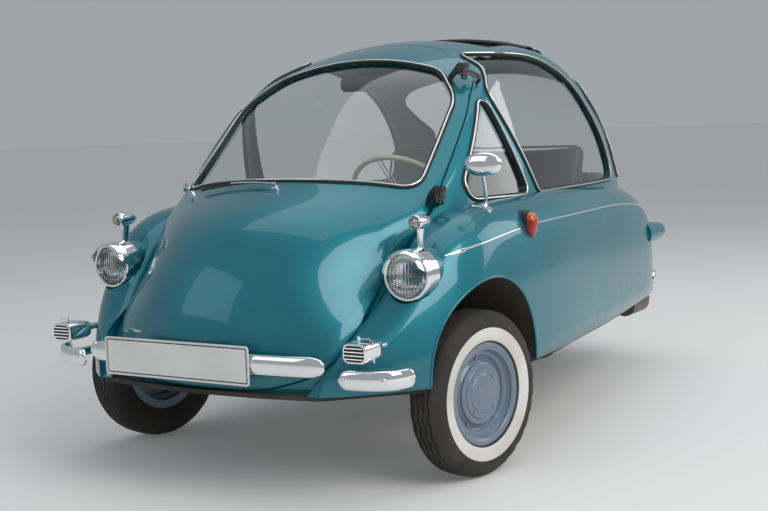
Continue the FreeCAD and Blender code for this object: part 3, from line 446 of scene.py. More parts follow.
cabin = {
    "fanHeight": 290,
    "fanBase": 140,
    # angle up from the nose, crown, crown radius, half width, waist, side radius, shoulder radius
    "rows": (
        (-6, 1210, 1300, 500, 600, 1400, 150),
        (9, 1264, 620, 527, 560, 1400, 150),
        (21, 1196, 520, 524, 460, 1400, 150),
        (34, 1014, 1000, 566, 440, 1450, 160),
        (48, 958, 1230, 580, 370, 1550, 140),
        (66, 985, 1330, 574, 300, 1650, 125),
        (90, 1017, 1300, 562, 270, 1700, 120),
        (115, 1078, 1200, 552, 300, 1700, 125),
        (136, 1132, 1080, 542, 370, 1600, 140),
        (156, 1184, 920, 514, 480, 1400, 165),
        (182, 1252, 900, 440, 600, 1200, 200),
    ),
    "spacing": 2.2,
}
fender = {
    "base": 297,
    # place along the car, outer half width, own half width, crown, crown radius, waist, side radius,
    # shoulder radius
    "rows": (
        (-1228, 388, 20, 338, 45, 308, 250, 14),
        (-1165, 468, 46, 402, 110, 325, 400, 34),
        (-1080, 545, 72, 472, 200, 335, 450, 52),
        (-980, 622, 104, 570, 260, 350, 500, 64),
        (-860, 670, 128, 694, 420, 420, 620, 82),
        (-700, 685, 150, 760, 900, 480, 800, 112),
        (-300, 680, 180, 782, 2500, 520, 900, 120),
        (200, 626, 180, 784, 2500, 500, 900, 120),
        (700, 556, 180, 762, 2500, 470, 900, 120),
        (1050, 492, 205, 688, 2000, 430, 900, 110),
        (1200, 434, 200, 590, 1500, 395, 900, 100),
        (1260, 360, 165, 470, 900, 360, 900, 80),
    ),
    "spacing": 30,
}


def fillRows(rows, spacing):
    filled = []
    last = len(rows) - 1
    for i in range(last):
        start, end = rows[i], rows[i + 1]
        before, after = rows[max(i - 1, 0)], rows[min(i + 2, last)]
        step = end[0] - start[0]
        parts = math.ceil(step / spacing)
        for k in range(parts):
            t = k / parts
            row = [start[0] + t * step]
            for c in range(1, len(start)):
                leave = (end[c] - before[c]) / (end[0] - before[0]) * step
                arrive = (after[c] - start[c]) / (after[0] - start[0]) * step
                row.append((2 * t ** 3 - 3 * t ** 2 + 1) * start[c] + (t ** 3 - 2 * t ** 2 + t) * leave
                           + (3 * t ** 2 - 2 * t ** 3) * end[c] + (t ** 3 - t ** 2) * arrive)
            filled.append(row)
    return filled + [rows[-1]]


def arcPoints(centre, radius, start, end, count, steps=12):
    return [centre + radius * Vector((math.cos(a), math.sin(a)))
            for a in (start + (end - start) * k / steps for k in range(count))]


def archOutline(half, base, waist, sideRadius, shoulder, crownRadius, crown):
    side = Vector((half - sideRadius, waist))
    top = Vector((0, crown - crownRadius))
    fromSide, fromTop = sideRadius - shoulder, crownRadius - shoulder
    gap = top - side
    along = (fromSide ** 2 - fromTop ** 2 + gap.length_squared) / (2 * gap.length)
    off = math.sqrt(max(fromSide ** 2 - along ** 2, 0))
    way = gap.normalized()
    both = [side + way * along + Vector((-way.y, way.x)) * s * off for s in (1, -1)]
    centre = max(both, key=lambda c: c.x + c.y)
    lowAngle = math.atan2(*(centre - side).yx)
    highAngle = math.atan2(*(centre - top).yx)
    right = [Vector((half, base + (waist - base) * k / 4)) for k in range(4)]
    right += arcPoints(side, sideRadius, 0, lowAngle, 12)
    right += arcPoints(centre, shoulder, lowAngle, highAngle, 12)
    right += arcPoints(top, crownRadius, highAngle, math.pi / 2, 13)
    return [tuple(p) for p in right] + [(-p.x, p.y) for p in reversed(right[:-1])]


def cabinMesh(inset=0.0, spacing=None, index=0):
    rings = []
    rows = fillRows(cabin["rows"], spacing or cabin["spacing"])
    for angle, crown, crownRadius, half, waist, sideRadius, shoulder in rows:
        lean = math.radians(angle)
        arch = archOutline(half - inset, cabin["fanBase"], waist, sideRadius - inset,
                           max(shoulder - inset, 5), crownRadius - inset, crown - inset)
        rings.append([Vector((u, -math.cos(lean) * v, cabin["fanHeight"] + math.sin(lean) * v)) * mm
                      for u, v in arch])
    bm = loft(rings, index=index)
    bmesh.ops.recalc_face_normals(bm, faces=bm.faces)
    return bm


def fenderMesh(side, index=1):
    rings = []
    rows = fillRows(fender["rows"], fender["spacing"])
    for y, outer, half, crown, crownRadius, waist, sideRadius, shoulder in rows:
        arch = archOutline(half, fender["base"], waist, sideRadius, max(shoulder, 4), crownRadius, crown)
        rings.append([Vector((side * (outer - half + u), y, v)) * mm for u, v in arch])
    bm = loft(rings, index=index)
    bmesh.ops.recalc_face_normals(bm, faces=bm.faces)
    return bm


class Surface:  # a skin to cast rays on and to take smooth normals from
    def __init__(self, bm):
        self.mesh = bpy.data.meshes.new("surface")
        bm.to_mesh(self.mesh)
        bm.normal_update()
        self.tree = BVHTree.FromBMesh(bm)
        bm.free()

    def hit(self, origin, way):
        found = self.tree.ray_cast(Vector(origin), Vector(way).normalized())
        if found[0] is None:
            raise RuntimeError("nothing is hit from %s" % (tuple(origin),))
        return found[0], self.normal(found[0])

    def fromSide(self, y, z, side=1):
        return self.hit((side * 2, y * mm, z * mm), (-side, 0, 0))

    def fromAbove(self, x, y):
        return self.hit((x * mm, y * mm, 3), (0, 0, -1))

    def normal(self, point):
        found, flatNormal, index, _ = self.tree.find_nearest(point)
        face = self.mesh.polygons[index]
        corners = [self.mesh.vertices[i] for i in face.vertices]
        weights = poly_3d_calc([c.co for c in corners], found)
        mixed = sum((c.normal * w for c, w in zip(corners, weights)), Vector())
        return mixed.normalized() if mixed.length > 0.1 else flatNormal


cabinSkin = Surface(cabinMesh())
fenderSkins = {1: Surface(fenderMesh(1)), -1: Surface(fenderMesh(-1))}
print("skins")


def smoothNormals(mesh, sources):  # the cut panels keep the normals of the skins they come from
    known, normals = {}, [Vector((0, 0, 1))] * len(mesh.loops)
    for face in mesh.polygons:
        source = sources.get(face.material_index)
        for loop in face.loop_indices:
            if source is None:
                normals[loop] = face.normal.copy()
                continue
            vertex = mesh.loops[loop].vertex_index
            key = (face.material_index, vertex, face.center.x > 0)
            if key not in known:
                skin = source[1 if face.center.x > 0 else -1] if isinstance(source, dict) else source
                known[key] = skin.normal(mesh.vertices[vertex].co)
            found = known[key]
            normals[loop] = found if found.dot(face.normal) > 0.3 else face.normal.copy()
    mesh.normals_split_custom_set(normals)


# Window and seam outlines, as in the solids

belt = 782
openings = {
    "sideWindow": ((-172, belt, 30), (652, belt, 55), (640, 915, 220), (455, 1144, 600), (90, 1232, 900),
                   (-205, 1236, 60), (-345, 1100, 50)),
    "ventWindow": ((-655, belt + 2, 42), (-246, belt - 2, 26), (-378, 1100, 26)),
    "rearWindow": ((835, belt, 46), (1500, belt, 10), (1500, 1500, 10), (640, 1400, 10), (545, 1120, 90),
                   (812, 965, 120)),
    "windscreen": ((0, -222, 1100), (430, -130, 62), (408, 260, 150), (300, 400, 120), (0, 452, 1200),
                   (-300, 400, 120), (-408, 260, 150), (-430, -130, 62)),
    "screenSlope": 35,
    "seam": ((-1236, 290), (-407, 1096), (-262, 1200), (-78, 1330)),
    "cheek": ((384, 250), (384, 300), (425, 430), (428, 600), (466, 700), (482, 790), (700, 880),
              (700, 1500)),
}
slope = math.radians(openings["screenSlope"])
upScreen = Vector((0, math.cos(slope), math.sin(slope)))
outScreen = Vector((0, -math.sin(slope), math.cos(slope)))


def fromSide(y, z):  # a place beside the car, from where a prism runs right through it
    return Vector((-2, y * mm, z * mm))


throughCar = Vector((4, 0, 0))


def sidePrism(outline):
    return prism(roundedOutline(outline), fromSide, throughCar)


def screenPrism():
    return prism(roundedOutline(openings["windscreen"]),
                 lambda u, v: Vector((u * mm, 0, 0)) + upScreen * v * mm + outScreen * 0.6, outScreen * 1.2)


def seamLine(step=0.0):  # straight up the pillar, then an arc over the roof
    foot, bend, over, top = (Vector(p) for p in openings["seam"])
    ax, ay, bx, by, cx, cy = *bend, *over, *top
    d = 2 * (ax * (by - cy) + bx * (cy - ay) + cx * (ay - by))
    aa, bb, cc = ax * ax + ay * ay, bx * bx + by * by, cx * cx + cy * cy
    centre = Vector(((aa * (by - cy) + bb * (cy - ay) + cc * (ay - by)) / d,
                     (aa * (cx - bx) + bb * (ax - cx) + cc * (bx - ax)) / d))
    start, end = bend - centre, top - centre
    sweep = math.atan2(start.x * end.y - start.y * end.x, start.dot(end))
    arc = [centre + Matrix.Rotation(sweep * k / 16, 2) @ start for k in range(17)]
    shift = Vector((0.7, -0.7)) * step
    return [foot + shift] + [p + shift for p in arc]


def doorPrism(step, cheekStep, index=2):
    line = [tuple(p) for p in seamLine(step)]
    region = prism(line + [(-2000, line[-1][1]), (-2000, line[0][1])], fromSide, throughCar)
    half = [(x + cheekStep, z) for x, z in openings["cheek"]]
    front = prism(half + [(-x, z) for x, z in reversed(half)], lambda x, z: Vector((x * mm, -2, z * mm)),
                  Vector((0, 2.2, 0)))
    mesh = carve(standIn(region), ("INTERSECT", standIn(front)))
    bm = bmesh.new()
    bm.from_mesh(mesh)
    for face in bm.faces:
        face.material_index = index
    return bm


def blockMesh(low, high, index=2):
    bm = bmesh.new()
    bmesh.ops.create_cube(bm, size=1)
    low, high = Vector(low) * mm, Vector(high) * mm
    bmesh.ops.scale(bm, vec=high - low, verts=bm.verts)
    bmesh.ops.translate(bm, vec=(low + high) / 2, verts=bm.verts)
    for face in bm.faces:
        face.material_index = index
    return bm


def roundBar(radius, start, end, steps=64, index=2):  # a closed cylinder between two points
    bm = bmesh.new()
    start, end = Vector(start) * mm, Vector(end) * mm
    turn = Vector((1, 0, 0)).rotation_difference(end - start).to_matrix().to_4x4()
    length = (end - start).length
    profile = [(0, 0), (0, radius * mm), (length, radius * mm), (length, 0)]
    turnRound(bm, profile, steps, Matrix.Translation(start) @ turn, index)
    bmesh.ops.recalc_face_normals(bm, faces=bm.faces)
    return bm


body = {
    "wall": 22, "sill": 297, "doorSill": 302,
    "archRadius": 254, "archHeight": 320, "archPlace": -745,
    "housingInner": 410, "housingWall": 18,
    "hub": ((-525, -210, 150), (525, 210, 480)),  # fills the inside where the cabin's sections meet
    "lampSide": 540, "lampHeight": 603, "lampFace": -962, "lampRadius": 73,
    "lampBucket": (-4, 150), "lampHole": (2, -90),  # growth of the radius, reach from the lamp's face
    "doorGap": (5, 9),  # along the seam, at the cheeks
    "tailPod": ((458, 1010, 536), 52, (466, 1200, 536), 34),
    "roofOpening": ((-320, -34, 1120), (320, 260, 1500)),
    "wheelSlot": (262, 90, 1015, 240),
}


def archMesh(side, grow, inner, index=4):
    steps = 40
    radius = body["archRadius"] + grow
    outline = [(body["archPlace"] + radius * math.cos(math.pi * k / steps),
                body["archHeight"] + radius * math.sin(math.pi * k / steps)) for k in range(steps + 1)]
    outline += [(body["archPlace"] - radius, -100), (body["archPlace"] + radius, -100)]
    return prism(outline, lambda y, z: Vector((side * inner * mm, y * mm, z * mm)),
                 Vector((side * 2, 0, 0)), index)


def tailPod(side):  # a closed cone with a slightly rounded rear edge
    (x0, y0, z0), wide, (x1, y1, z1), narrow = body["tailPod"]
    start, end = Vector((side * x0, y0, z0)) * mm, Vector((side * x1, y1, z1)) * mm
    length = (end - start).length
    turn = Vector((1, 0, 0)).rotation_difference(end - start).to_matrix().to_4x4()
    profile = [(0, 0), (0, wide * mm), (length * 0.5, (wide * 0.56 + narrow * 0.44) * mm),
               (length - 0.004, (narrow + 1) * mm), (length, (narrow - 2) * mm), (length, 0)]
    bm = turnRound(bmesh.new(), profile, 48, Matrix.Translation(start) @ turn, 2)
    bmesh.ops.recalc_face_normals(bm, faces=bm.faces)
    return bm


def lampBar(side, grow, reach):
    x, y, z = side * body["lampSide"], body["lampFace"], body["lampHeight"]
    return standIn(roundBar(body["lampRadius"] + grow, (x, y, z), (x, y + reach, z)))


def underside(height):  # everything below a height
    return standIn(blockMesh((-2000, -2000, -1500), (2000, 2000, height)))


def clearTemporary():
    for obj in [o for o in bpy.data.objects if o.name.startswith("cutter")]:
        bpy.data.objects.remove(obj)


def bodyPanels():
    shell = standIn(cabinMesh())
    steps = []
    for side in (1, -1):
        steps.append(("UNION", standIn(fenderMesh(side))))
        steps.append(("UNION", lampBar(side, *body["lampBucket"])))
        steps.append(("UNION", standIn(tailPod(side))))
    room = standIn(cabinMesh(body["wall"], 4, index=3))
    inner = body["housingInner"] - body["housingWall"]
    housings = [standIn(archMesh(side, body["housingWall"], inner, 3)) for side in (1, -1)]
    room.data = carve(room, ("UNION", standIn(blockMesh(*body["hub"], 3))),
                      *[("DIFFERENCE", housing) for housing in housings])
    steps.append(("DIFFERENCE", underside(body["sill"])))
    steps.append(("DIFFERENCE", room))
    for side in (1, -1):
        steps.append(("DIFFERENCE", standIn(archMesh(side, 0, body["housingInner"]))))
        steps.append(("DIFFERENCE", lampBar(side, *body["lampHole"])))
    steps.append(("DIFFERENCE", standIn(doorPrism(*body["doorGap"]))))
    steps.append(("DIFFERENCE", standIn(blockMesh(*body["roofOpening"]))))
    radius, half, y, z = body["wheelSlot"]
    steps.append(("DIFFERENCE", standIn(roundBar(radius, (-half, y, z), (half, y, z)))))
    for name in ("sideWindow", "ventWindow", "rearWindow"):
        steps.append(("DIFFERENCE", standIn(sidePrism(openings[name]))))
    mesh = carve(shell, *steps)
    clearTemporary()
    addPiece("bodyPanels", mesh, "body", panelFinishes, ["body_shell"], sharp=0)
    smoothNormals(mesh, {0: cabinSkin, 1: fenderSkins})


def doorPanel():
    mesh = carve(standIn(cabinMesh()), ("INTERSECT", standIn(doorPrism(0, 0))),
                 ("DIFFERENCE", standIn(cabinMesh(body["wall"], 4, index=3))),
                 ("DIFFERENCE", underside(body["doorSill"])),
                 ("DIFFERENCE", standIn(screenPrism())))
    clearTemporary()
    addPiece("doorPanel", mesh, "door", panelFinishes, ["front_door"], sharp=0)
    smoothNormals(mesh, {0: cabinSkin})


bodyPanels()
print("body panels")
doorPanel()
print("door")


# Glass: each pane is cut from a thin shell just under the skin

panes = {"depth": 8, "thickness": 4}


def paneShell():
    outer = cabinMesh(panes["depth"], 3)
    inner = cabinMesh(panes["depth"] + panes["thickness"], 3)
    bmesh.ops.reverse_faces(inner, faces=inner.faces)
    mesh = bpy.data.meshes.new("inner")
    inner.to_mesh(mesh)
    inner.free()
    outer.from_mesh(mesh)
    return outer


def pane(name, cutter, bodyName, node):
    stock = standIn(paneShell())
    mesh = carve(stock, ("INTERSECT", standIn(cutter)))
    clearTemporary()
    return addPiece(name, mesh, bodyName, "paneGlass", [node])


pane("windscreenGlass", screenPrism(), "door", "windscreen")
pane("sideGlass", sidePrism(openings["sideWindow"]), "body", "side_windows")
pane("ventGlass", sidePrism(openings["ventWindow"]), "body", "vent_windows")
pane("rearGlass", sidePrism(openings["rearWindow"]), "body", "rear_window")
print("glass")

seals = {
    "radius": 8.5, "rise": 1, "gap": 9,
    "insert": 2.5, "insertRise": 6.6,  # the chrome strip in the rubber
    "tailReach": 1400,  # how far back the rear window's lower edge is looked for
}


def sealAround(name, bodyName, hits):
    normals = [n for _, n in hits]
    points = [p + n * seals["rise"] * mm for p, n in hits]
    tube(name + "Seal", points, seals["radius"] * mm, bodyName, "sealRubber", True, flat=0.75,
         normals=normals)
    raised = [p + n * seals["insertRise"] * mm for p, n in hits]
    tube(name + "Chrome", raised, seals["insert"] * mm, bodyName, "chromeTrim", True, flat=0.7,
         normals=normals, around=8)


def sidePoints(outline):  # the outline's points that meet the left side of the cabin, closely spaced
    found = []
    for a, b in zip(outline, outline[1:]):
        a, b = Vector(a), Vector(b)
        count = max(1, int((b - a).length / 1.5))
        for k in range(count):
            y, z = a.lerp(b, k / count)
            hit = cabinSkin.tree.ray_cast(Vector((2, y * mm, z * mm)), Vector((-1, 0, 0)))[0]
            if hit is not None and hit.x > 0.002:
                found.append(hit)
    return found


def windowSeals():
    for side, word in ((1, "Left"), (-1, "Right")):
        for name in ("sideWindow", "ventWindow"):
            line = spread(roundedOutline(openings[name], 10), seals["gap"])
            sealAround(name + word, "body", [cabinSkin.fromSide(p.x, p.y, side) for p in line])
    hits = []
    for p in spread(roundedOutline(openings["windscreen"], 12), seals["gap"]):
        start = Vector((p.x * mm, 0, 0)) + upScreen * p.y * mm + outScreen * 3
        hits.append(cabinSkin.hit(start, -outScreen))
    sealAround("windscreen", "door", hits)
    # the rear window wraps round the tail: up one side, over the roof, down the other, back along the belt
    corners = openings["rearWindow"]
    lowY, _, lowRadius = corners[0]
    front = [p for p in roundedOutline(corners, 10) if p[1] > belt and p[0] < 900]
    front = sorted(front, key=lambda q: q[1])
    up = sidePoints([(p[0], p[1]) for p in front] + [corners[3][:2]])
    back = sidePoints([(lowY + lowRadius, belt), (seals["tailReach"], belt)])
    half = list(reversed(back)) + up
    other = [Vector((-p.x, p.y, p.z)) for p in reversed(half)]
    line = spread(half + other, seals["gap"] * mm)
    sealAround("rearWindow", "body", [(p, cabinSkin.normal(p)) for p in line])


windowSeals()
print("seals")


# Wheels

wheel = {
    "radius": 240, "steps": 112,
    # profiles are (along the axle, radius)
    "tyreSide": ((40.5, 127.5), (41, 140), (45, 149), (49, 153), (51, 156), (54.5, 172), (55.7, 187),
                 (56, 191), (55.4, 203), (52.5, 216), (49, 224), (44, 231), (39, 235.2), (36, 237)),
    "whiteFrom": 152, "whiteTo": 189, "whiteSide": 45,
    "grooves": (-27, -9, 9, 27), "grooveDepth": 5, "grooveHalf": 2.2, "grooveSlope": 0.8,
    "zigzag": 2.4, "treadFrom": 232.5, "treadHalf": 33,
    "lugs": (223, 236.5), "lugSide": 38, "lugDepth": 4,
    "rim": ((-45, 148), (-41, 148), (-41, 127), (-22, 126.7), (-14, 112), (14, 112), (20, 126.7),
            (41, 126.7), (41, 143), (42, 147), (44, 148), (45, 146), (45.5, 141), (43, 133),
            (38, 127.5), (29, 124), (25, 121), (23.5, 117), (22.5, 111), (19, 108), (15, 106.5),
            (13.5, 104), (14, 100), (18, 96), (21, 92.5), (22, 90.5), (20, 84), (14, 80), (6, 78),
            (-4, 40), (-22, 30), (-22, 18.3), (26, 18.3), (26, 30), (14, 50), (9, 82), (7, 92),
            (4, 107), (-18, 107), (-24, 121), (-44, 122)),
    "bolts": 5, "boltCircle": 101, "boltOut": 14,
    "cap": ((20, 90), (24, 90.5), (27.5, 89), (29.5, 85.5), (30, 80), (29.4, 75), (30.5, 73.5),
            (33, 72), (34.6, 67), (34.2, 61), (33.4, 57), (34.4, 55), (36.2, 53), (37, 48), (36.6, 42),
            (36.4, 34), (37.2, 32), (38, 29), (38.2, 16), (38, 0)),
    "studs": 4, "studCircle": 63, "studOut": 34.4,
}
wheelPlaces = (
    # piece name, node name, middle of the kingpin or axle, heading in degrees, reach from there
    ("FrontLeft", "front_left", (548, -745, 240), -10.5, 62),
    ("FrontRight", "front_right", (-548, -745, 240), 169.5, 62),
    ("Rear", "rear", (0, 1015, 240), 0, 0),
)


def scaled(profile):
    return [(a * mm, r * mm) for a, r in profile]


def tyreProfile():
    side = list(wheel["tyreSide"])
    half, slope = wheel["grooveHalf"], wheel["grooveSlope"]
    tread = []
    for middle in reversed(wheel["grooves"]):
        crown = wheel["radius"] - (abs(middle) / 40) ** 2 * 2.5
        for offset, depth in ((half + 0.6, 0), (half - slope, wheel["grooveDepth"]),
                              (-half + slope, wheel["grooveDepth"]), (-half - 0.6, 0)):
            tread.append((middle + offset, crown - depth))
    return side + tread + [(-a, r) for a, r in reversed(side)]


def makeTyre(name, node, matrix):
    bm = bmesh.new()
    turnRound(bm, scaled(tyreProfile()), wheel["steps"], closed=True)
    for face in bm.faces:
        middle = face.calc_center_median() / mm
        radius = math.hypot(middle.y, middle.z)
        if middle.x > wheel["whiteSide"] and wheel["whiteFrom"] < radius < wheel["whiteTo"]:
            face.material_index = 1
    lugFrom, lugTo = wheel["lugs"]
    for vert in bm.verts:  # the ribs run in a zigzag and the shoulders have lugs
        radius = math.hypot(vert.co.y, vert.co.z) / mm
        turn = round(math.atan2(vert.co.z, vert.co.y) / math.tau * wheel["steps"]) % 4
        if radius > wheel["treadFrom"] and abs(vert.co.x) < wheel["treadHalf"] * mm:
            vert.co.x += wheel["zigzag"] * mm * (1 if turn < 2 else -1)
        elif lugFrom < radius < lugTo and abs(vert.co.x) > wheel["lugSide"] * mm and turn == 0:
            vert.co.y *= 1 - wheel["lugDepth"] / radius
            vert.co.z *= 1 - wheel["lugDepth"] / radius
    bmesh.ops.transform(bm, matrix=matrix, verts=bm.verts)
    finishPiece("tyre" + name, bm, "wheel_" + node, ["tyreRubber", "whiteBand"], ["tyre_" + node],
                sharp=40)


def makeRim(name, node, matrix):
    bm = bmesh.new()
    turnRound(bm, scaled(wheel["rim"]), 96, closed=True)
    for k in range(wheel["bolts"]):  # between the cap and the well
        angle = math.tau * (k + 0.3) / wheel["bolts"]
        spot = Vector((wheel["boltOut"], math.cos(angle) * wheel["boltCircle"],
                       math.sin(angle) * wheel["boltCircle"])) * mm
        bolt = bmesh.ops.create_cone(bm, cap_ends=True, segments=6, radius1=0.0065, radius2=0.0055,
                                     depth=0.01)["verts"]
        bmesh.ops.rotate(bm, verts=bolt, cent=(0, 0, 0), matrix=Matrix.Rotation(math.pi / 2, 3, "Y"))
        bmesh.ops.translate(bm, verts=bolt, vec=spot)
    bmesh.ops.transform(bm, matrix=matrix, verts=bm.verts)
    finishPiece("rim" + name, bm, "wheel_" + node, "wheelPaint", ["rim_" + node], sharp=28)


def makeCap(name, node, matrix):
    bm = bmesh.new()
    turnRound(bm, scaled(wheel["cap"]), 96)
    for k in range(wheel["studs"]):
        angle = math.tau * (k + 0.5) / wheel["studs"]
        spot = Vector((wheel["studOut"], math.cos(angle) * wheel["studCircle"],
                       math.sin(angle) * wheel["studCircle"])) * mm
        stud = bmesh.ops.create_uvsphere(bm, u_segments=12, v_segments=8, radius=0.0045)
        bmesh.ops.translate(bm, verts=stud["verts"], vec=spot)
    bmesh.ops.transform(bm, matrix=matrix, verts=bm.verts)
    finishPiece("hubcap" + name, bm, "wheel_" + node, "wheelPaint", sharp=28)


for wheelName, wheelNode, pin, heading, reach in wheelPlaces:
    turned = Matrix.Rotation(math.radians(heading), 4, "Z")
    hubPlace = Matrix.Translation(Vector(pin) * mm) @ turned @ Matrix.Translation((reach * mm, 0, 0))
    makeTyre(wheelName, wheelNode, hubPlace)
    makeRim(wheelName, wheelNode, hubPlace)
    makeCap(wheelName, wheelNode, hubPlace)
print("wheels")


# Lamps: their profiles are (ahead of the lamp's face, radius)

headlamp = {
    "ring": ((-22, 69.6), (-22, 73), (24, 73), (33, 72.6), (38, 71), (40, 68.5), (40.2, 65.5),
             (38, 62.6), (33, 61), (28, 61), (28, 64), (4, 68.8)),
    "visor": ((35, 71.4), (45, 70.7), (54, 68), (61, 63.6), (65.4, 59), (66.6, 60), (62.4, 65), (55, 69.6),
              (46, 72.3), (36, 73)),
    "visorFoot": 36, "visorLean": 42,
    "lens": ((44, 0), (43.4, 15), (41.4, 30), (38, 45), (33, 60.4), (30.4, 60.4), (35.4, 45), (38.8, 30),
             (40.8, 15), (41.4, 0)),
    "bowl": ((29, 60.5), (20, 56), (8, 46), (-2, 30), (-6, 12), (-6, 0), (-9, 0), (-9, 13), (-5, 33),
             (6, 50), (20, 60.5)),
    "bulb": ((26, 0), (25, 5), (20, 8.5), (12, 9), (4, 6), (-5, 6), (-5, 0)),
}
parking = {
    "place": (545, -909, 744),
    "shell": ((-36, 0), (-36, 6), (-28, 12), (-14, 18.4), (0, 20.8), (36, 21), (44, 20.4), (46, 19),
              (44, 17.6), (30, 17.4), (30, 0)),
    "lens": ((44, 17.3), (50, 16.4), (56, 13.4), (61, 8), (63.4, 0), (60.6, 0), (58, 7), (53, 12), (44, 15)),
    "foot": ((9, 26), (7.5, 21), (7, 18), (7.5, 17), (9, 18)),  # half widths, from the fender up
    "footBack": -12, "footSunk": 4, "footTop": -14,
}
tail = {
    "rim": ((-6, 30), (-6, 33.5), (4, 33.5), (7, 32.5), (8, 30.5), (6, 29.2), (-4, 29)),
    "lens": ((0, 0), (0, 29), (8, 29), (16, 26), (22, 20), (26, 11), (27.4, 0)),
}


def faceForward(place, way=(0, -1, 0)):
    turn = Vector((1, 0, 0)).rotation_difference(Vector(way)).to_matrix().to_4x4()
    return Matrix.Translation(Vector(place) * mm) @ turn


def pairPlaces(place):
    x, y, z = place
    return ((x, y, z), (-x, y, z))


def addVisor(bm, matrix):  # an eyelid: the upper part of a turned shell
    visor = bmesh.new()
    turnRound(visor, scaled(headlamp["visor"]), 72, closed=True)
    lean = math.radians(headlamp["visorLean"])
    bmesh.ops.bisect_plane(visor, geom=visor.verts[:] + visor.edges[:] + visor.faces[:], dist=0.00001,
                           plane_co=(headlamp["visorFoot"] * mm, 0, 0),
                           plane_no=(-math.sin(lean), 0, math.cos(lean)), clear_inner=True)
    bmesh.ops.holes_fill(visor, edges=[e for e in visor.edges if e.is_boundary], sides=40)
    bmesh.ops.transform(visor, matrix=matrix, verts=visor.verts)
    mesh = bpy.data.meshes.new("visor")
    visor.to_mesh(mesh)
    visor.free()
    bm.from_mesh(mesh)


def headlamps():
    ring, glass = bmesh.new(), bmesh.new()
    for spot in pairPlaces((body["lampSide"], body["lampFace"], body["lampHeight"])):
        matrix = faceForward(spot)
        turnRound(ring, scaled(headlamp["ring"]), 72, matrix, closed=True)
        addVisor(ring, matrix)
        turnRound(ring, scaled(headlamp["bowl"]), 48, matrix)
        turnRound(ring, scaled(headlamp["bulb"]), 20, matrix, 1)
        turnRound(glass, scaled(headlamp["lens"]), 72, matrix)
    finishPiece("headlampRings", ring, "body", ["chromeTrim", "dialFace"], ["headlamp_bezels"])
    finishPiece("headlampGlass", glass, "body", "lampGlass", ["headlamp_lenses"])


def parkingFoot(bm, spot):
    x, y, z = spot[0] * mm, (spot[1] + parking["footBack"]) * mm, spot[2] * mm
    ground, _ = fenderSkins[1 if x > 0 else -1].fromAbove(spot[0], spot[1] + parking["footBack"])
    low = ground.z - parking["footSunk"] * mm
    rings = []
    for k, (wide, long) in enumerate(parking["foot"]):
        level = low + (z + parking["footTop"] * mm - ground.z) * k / (len(parking["foot"]) - 1)
        rings.append([Vector((x + wide * mm * math.cos(a), y + long * mm * math.sin(a), level))
                      for a in (math.tau * i / 24 for i in range(24))])
    loft(rings, bm=bm)


def smallLamps():
    shell, lens = bmesh.new(), bmesh.new()
    for spot in pairPlaces(parking["place"]):
        matrix = faceForward(spot)
        turnRound(shell, scaled(parking["shell"]), 40, matrix)
        turnRound(lens, scaled(parking["lens"]), 40, matrix)
        parkingFoot(shell, spot)
    finishPiece("parkingShells", shell, "body", "chromeTrim", ["parking_lamps"], sharp=45)
    finishPiece("parkingLenses", lens, "body", "lampGlass")
    rim, red = bmesh.new(), bmesh.new()
    for spot in pairPlaces(body["tailPod"][2]):
        matrix = faceForward(spot, (0, 1, 0))
        turnRound(rim, scaled(tail["rim"]), 40, matrix, closed=True)
        turnRound(red, scaled(tail["lens"]), 40, matrix)
    finishPiece("tailRims", rim, "body", "chromeTrim")
    finishPiece("tailLenses", red, "body", "redLens", ["tail_lamps"])


indicator = {
    "place": (652, -481, 702), "half": 26, "rise": 16,
    # how far out, and the outline's scale there
    "base": ((-14, 1.0), (4, 1.04), (14, 1.02), (18, 0.96), (18, 0.88)),
    "lens": ((4, 0.86), (24, 0.85), (31, 0.78), (36, 0.62), (38, 0.34)),
}


def stadium(scale, steps=12):
    half = indicator["half"] * scale
    rise = indicator["rise"] * min(scale * 1.15, 1)
    points = []
    for k in range(steps * 2 + 2):
        upper = k <= steps
        a = math.pi * (k if upper else k - 1) / steps
        points.append((half * math.cos(a), half * math.sin(a) + (rise if upper else -rise)))
    return points


def indicators():
    base, lens = bmesh.new(), bmesh.new()
    x, y, z = indicator["place"]
    for side in (1, -1):
        for bm, key in ((base, "base"), (lens, "lens")):
            loft([[Vector((side * (x + out), y + u, z + v)) * mm for u, v in stadium(scale)]
                  for out, scale in indicator[key]], bm=bm)
    # the lower half of each indicator lens takes the red lens; the upper half takes its lighter amber copy,
    # a painted highlight on the lens's top
    for face in lens.faces:
        if face.calc_center_median().z < (z + 2) * mm:
            face.material_index = 1
    finishPiece("indicatorBases", base, "body", "blackEnamel", ["side_indicators"])
    finishPiece("indicatorLenses", lens, "body", ["lensTopPaintedHighlight", "redLens"], sharp=24)


headlamps()
smallLamps()
indicators()
print("lamps")


# Bumpers: a pressed bar with a rounded face, swept along its line seen from above

bumpers = {
    "frontBumper": {
        "line": ((-420, -1240), (-330, -1257), (-200, -1268), (-90, -1272), (90, -1272), (200, -1268),
                 (330, -1257), (420, -1240)),
        "z": 381, "half": 29, "bolts": (0.28, 0.72), "stay": (250, 15, (-1255, -1218), (368, 394)),
        "sides": (1,), "body": "door", "node": "front_bumper",
    },
    "sideBumpers": {
        "line": ((456, -1230), (546, -1214), (604, -1177), (632, -1112)),
        "z": 350, "half": 27, "bolts": (0.06, 0.5, 0.93), "stay": (553, 13, (-1198, -1085), (338, 362)),
        "sides": (1, -1), "body": "body", "node": "side_bumpers",
    },
    "rearBumpers": {
        "line": ((474, 1150), (452, 1215), (400, 1262), (300, 1275)),
        "z": 340, "half": 29, "bolts": (0.3, 0.7), "stay": (370, 30, (1180, 1250), (328, 352)),
        "sides": (1, -1), "body": "body", "node": "rear_bumpers",
    },
}
